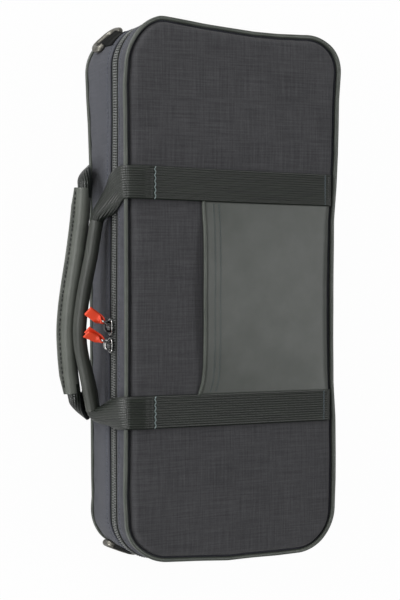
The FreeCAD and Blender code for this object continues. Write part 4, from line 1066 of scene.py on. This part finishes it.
def slider(end, x, half_x, wedge, arch_metal, face_y=-86.95, wire=0.52):
    body = f"{end}_slider"
    plate = oval(f"slider_{end}_plate", (x, face_y, SLIDER_Z), half_x, 4.7,
                 ((0.93, 0.0), (1.0, 0.25), (1.0, 0.75), (0.95, 1.1), (0.85, 1.3), (0.5, 1.42), (0.1, 1.45)),
                 body)
    oval(f"slider_{end}_inner_plate", (x, -81.3, SLIDER_Z), half_x * 0.95, 4.4,
         ((0.6, -0.9), (0.95, -0.8), (1.0, -0.5), (1.0, -0.2), (0.94, 0.0)), body)
    oval(f"slider_{end}_wedge", (x + wedge, -81.4, SLIDER_Z), 1.9, 0.75,
         ((1.0, 0.0), (1.0, 2.8), (1.0, 5.7)), body)
    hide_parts(f"slider_{end}")
    rim_x, rim_z, c, s = oval_rim(48)
    rows = []
    for a in circle(10):
        reach, out = wire * math.cos(a), wire * math.sin(a)
        rows.append(np.stack([x + rim_x * half_x * 0.97 + c * reach, np.full(48, face_y - 0.75 - out),
                              SLIDER_Z + rim_z * 4.55 + s * reach], axis=1))
    rim = grid_mesh(f"slider_{end}_rim", np.array(rows), np.linspace(0, 36, 49), np.linspace(0, 3, 11),
                    wrap_rows=True, wrap_columns=True)
    finish_piece(rim, SLIDER_RIM_PAINTED_HIGHLIGHT, "slider_metal", body)
    half = [(3.4, -87.9), (3.3, -90.2), (1.6, -91.6)]
    arch = [(-a, b) for a, b in half] + [(0, -91.8)] + half[::-1]
    bridge = strip(f"slider_{end}_arch", [(PULL_X[end] + a, b, SLIDER_Z) for a, b in arch], half_width=1.9,
                   half_thick=0.65, step=0.5, first_across=(0, 0, 1))
    finish_piece(bridge, arch_metal, "slider_metal", body)


# The wire links keep their solids' shapes, moved with the sliders
def link(end, shift):
    piece = copy_solid(f"puller_{end}_wire", f"puller_{end}")
    for vertex in piece.data.vertices:
        vertex.co += Vector((shift * MM, 0, (SLIDER_Z - ZIPPER_Z) * MM))
    smooth(piece.data)
    finish_piece(piece, LINK_METAL, "slider_metal", f"{end}_pull", f"puller_{end}")


ring("upper", (-0.190747, -0.076282, 0.033), (-0.669131, 0.743145, 0), 8.0, 0.75)
ring("lower", (0.196421, -0.067544, 0.033), (-0.406737, -0.913545, 0), 10.0, 0.7)
slider("upper", 23.6, 6.0, 2.6, SLIDER_METAL)
# The lower slider's arch is made in the bright rim metal, a painted highlight.
slider("lower", 37.0, 5.4, -2.6, SLIDER_RIM_PAINTED_HIGHLIGHT)
link("upper", -1.2)
link("lower", -0.4)


# Floor, light and background
def stage(half=4.0, level=-0.0006):
    n = surface("pale_floor")
    shader = n.tree.nodes["Principled BSDF"]
    n.put(shader, {"Base Color": (0.86, 0.86, 0.86, 1), "Roughness": 0.9, "Specular IOR Level": 0.1})
    seen = n.add("LightPath").outputs["Is Camera Ray"]
    glow = n.add("Emission", {"Color": (1, 1, 1, 1), "Strength": 1.0})
    mixed = n.add("MixShader", {0: n.maths("MULTIPLY", seen, 0.965), 1: shader.outputs[0], 2: glow.outputs[0]})
    n.put(n.tree.nodes["Material Output"], {"Surface": mixed.outputs[0]})
    mesh = bpy.data.meshes.new("floor")
    corners = ((-half, -half, level), (half, -half, level), (half, half, level), (-half, half, level))
    mesh.from_pydata(corners, [], [(0, 1, 2, 3)])
    mesh.materials.append(n.owner)
    add_object("floor", mesh)
    world = Nodes(bpy.data.worlds.new("studio"))
    bpy.context.scene.world = world.owner
    world.tree.nodes.clear()
    seen = world.add("LightPath").outputs["Is Camera Ray"]
    sky = world.add("Background", {"Color": (1, 1, 1, 1), "Strength": world.spread(seen, 0.0, 1.0, 0.20, 1.0)})
    world.add("OutputWorld", {"Surface": sky.outputs[0]})


def lamp(name, place, target, size, power):
    data = bpy.data.lights.new(name, "AREA")
    data.shape = "RECTANGLE"
    data.size, data.size_y = size
    data.energy = power
    light = add_object(name, data)
    light.location = place
    light.rotation_euler = (Vector(target) - Vector(place)).to_track_quat("-Z", "Y").to_euler()


stage()
lamp("key", (-0.25, -1.25, 0.75), (0, -0.05, 0.06), (1.5, 0.7), 10)
lamp("overhead", (0.0, -0.25, 1.45), (0, -0.08, 0.09), (1.0, 0.16), 1.8)
lamp("upper_left", (-0.75, -0.95, 0.16), (-0.12, -0.08, 0.05), (0.5, 0.35), 4.5)
lamp("lower_left", (0.85, -0.95, 0.16), (0.15, -0.08, 0.05), (0.5, 0.35), 5.5)
lamp("top", (-1.15, -0.35, 0.75), (-0.1, 0, 0.06), (0.6, 0.9), 4)
lamp("right", (0.0, 0.85, 1.15), (0, 0.03, 0.09), (1.2, 0.5), 7.5)
bpy.context.scene.view_settings.view_transform = "Standard"
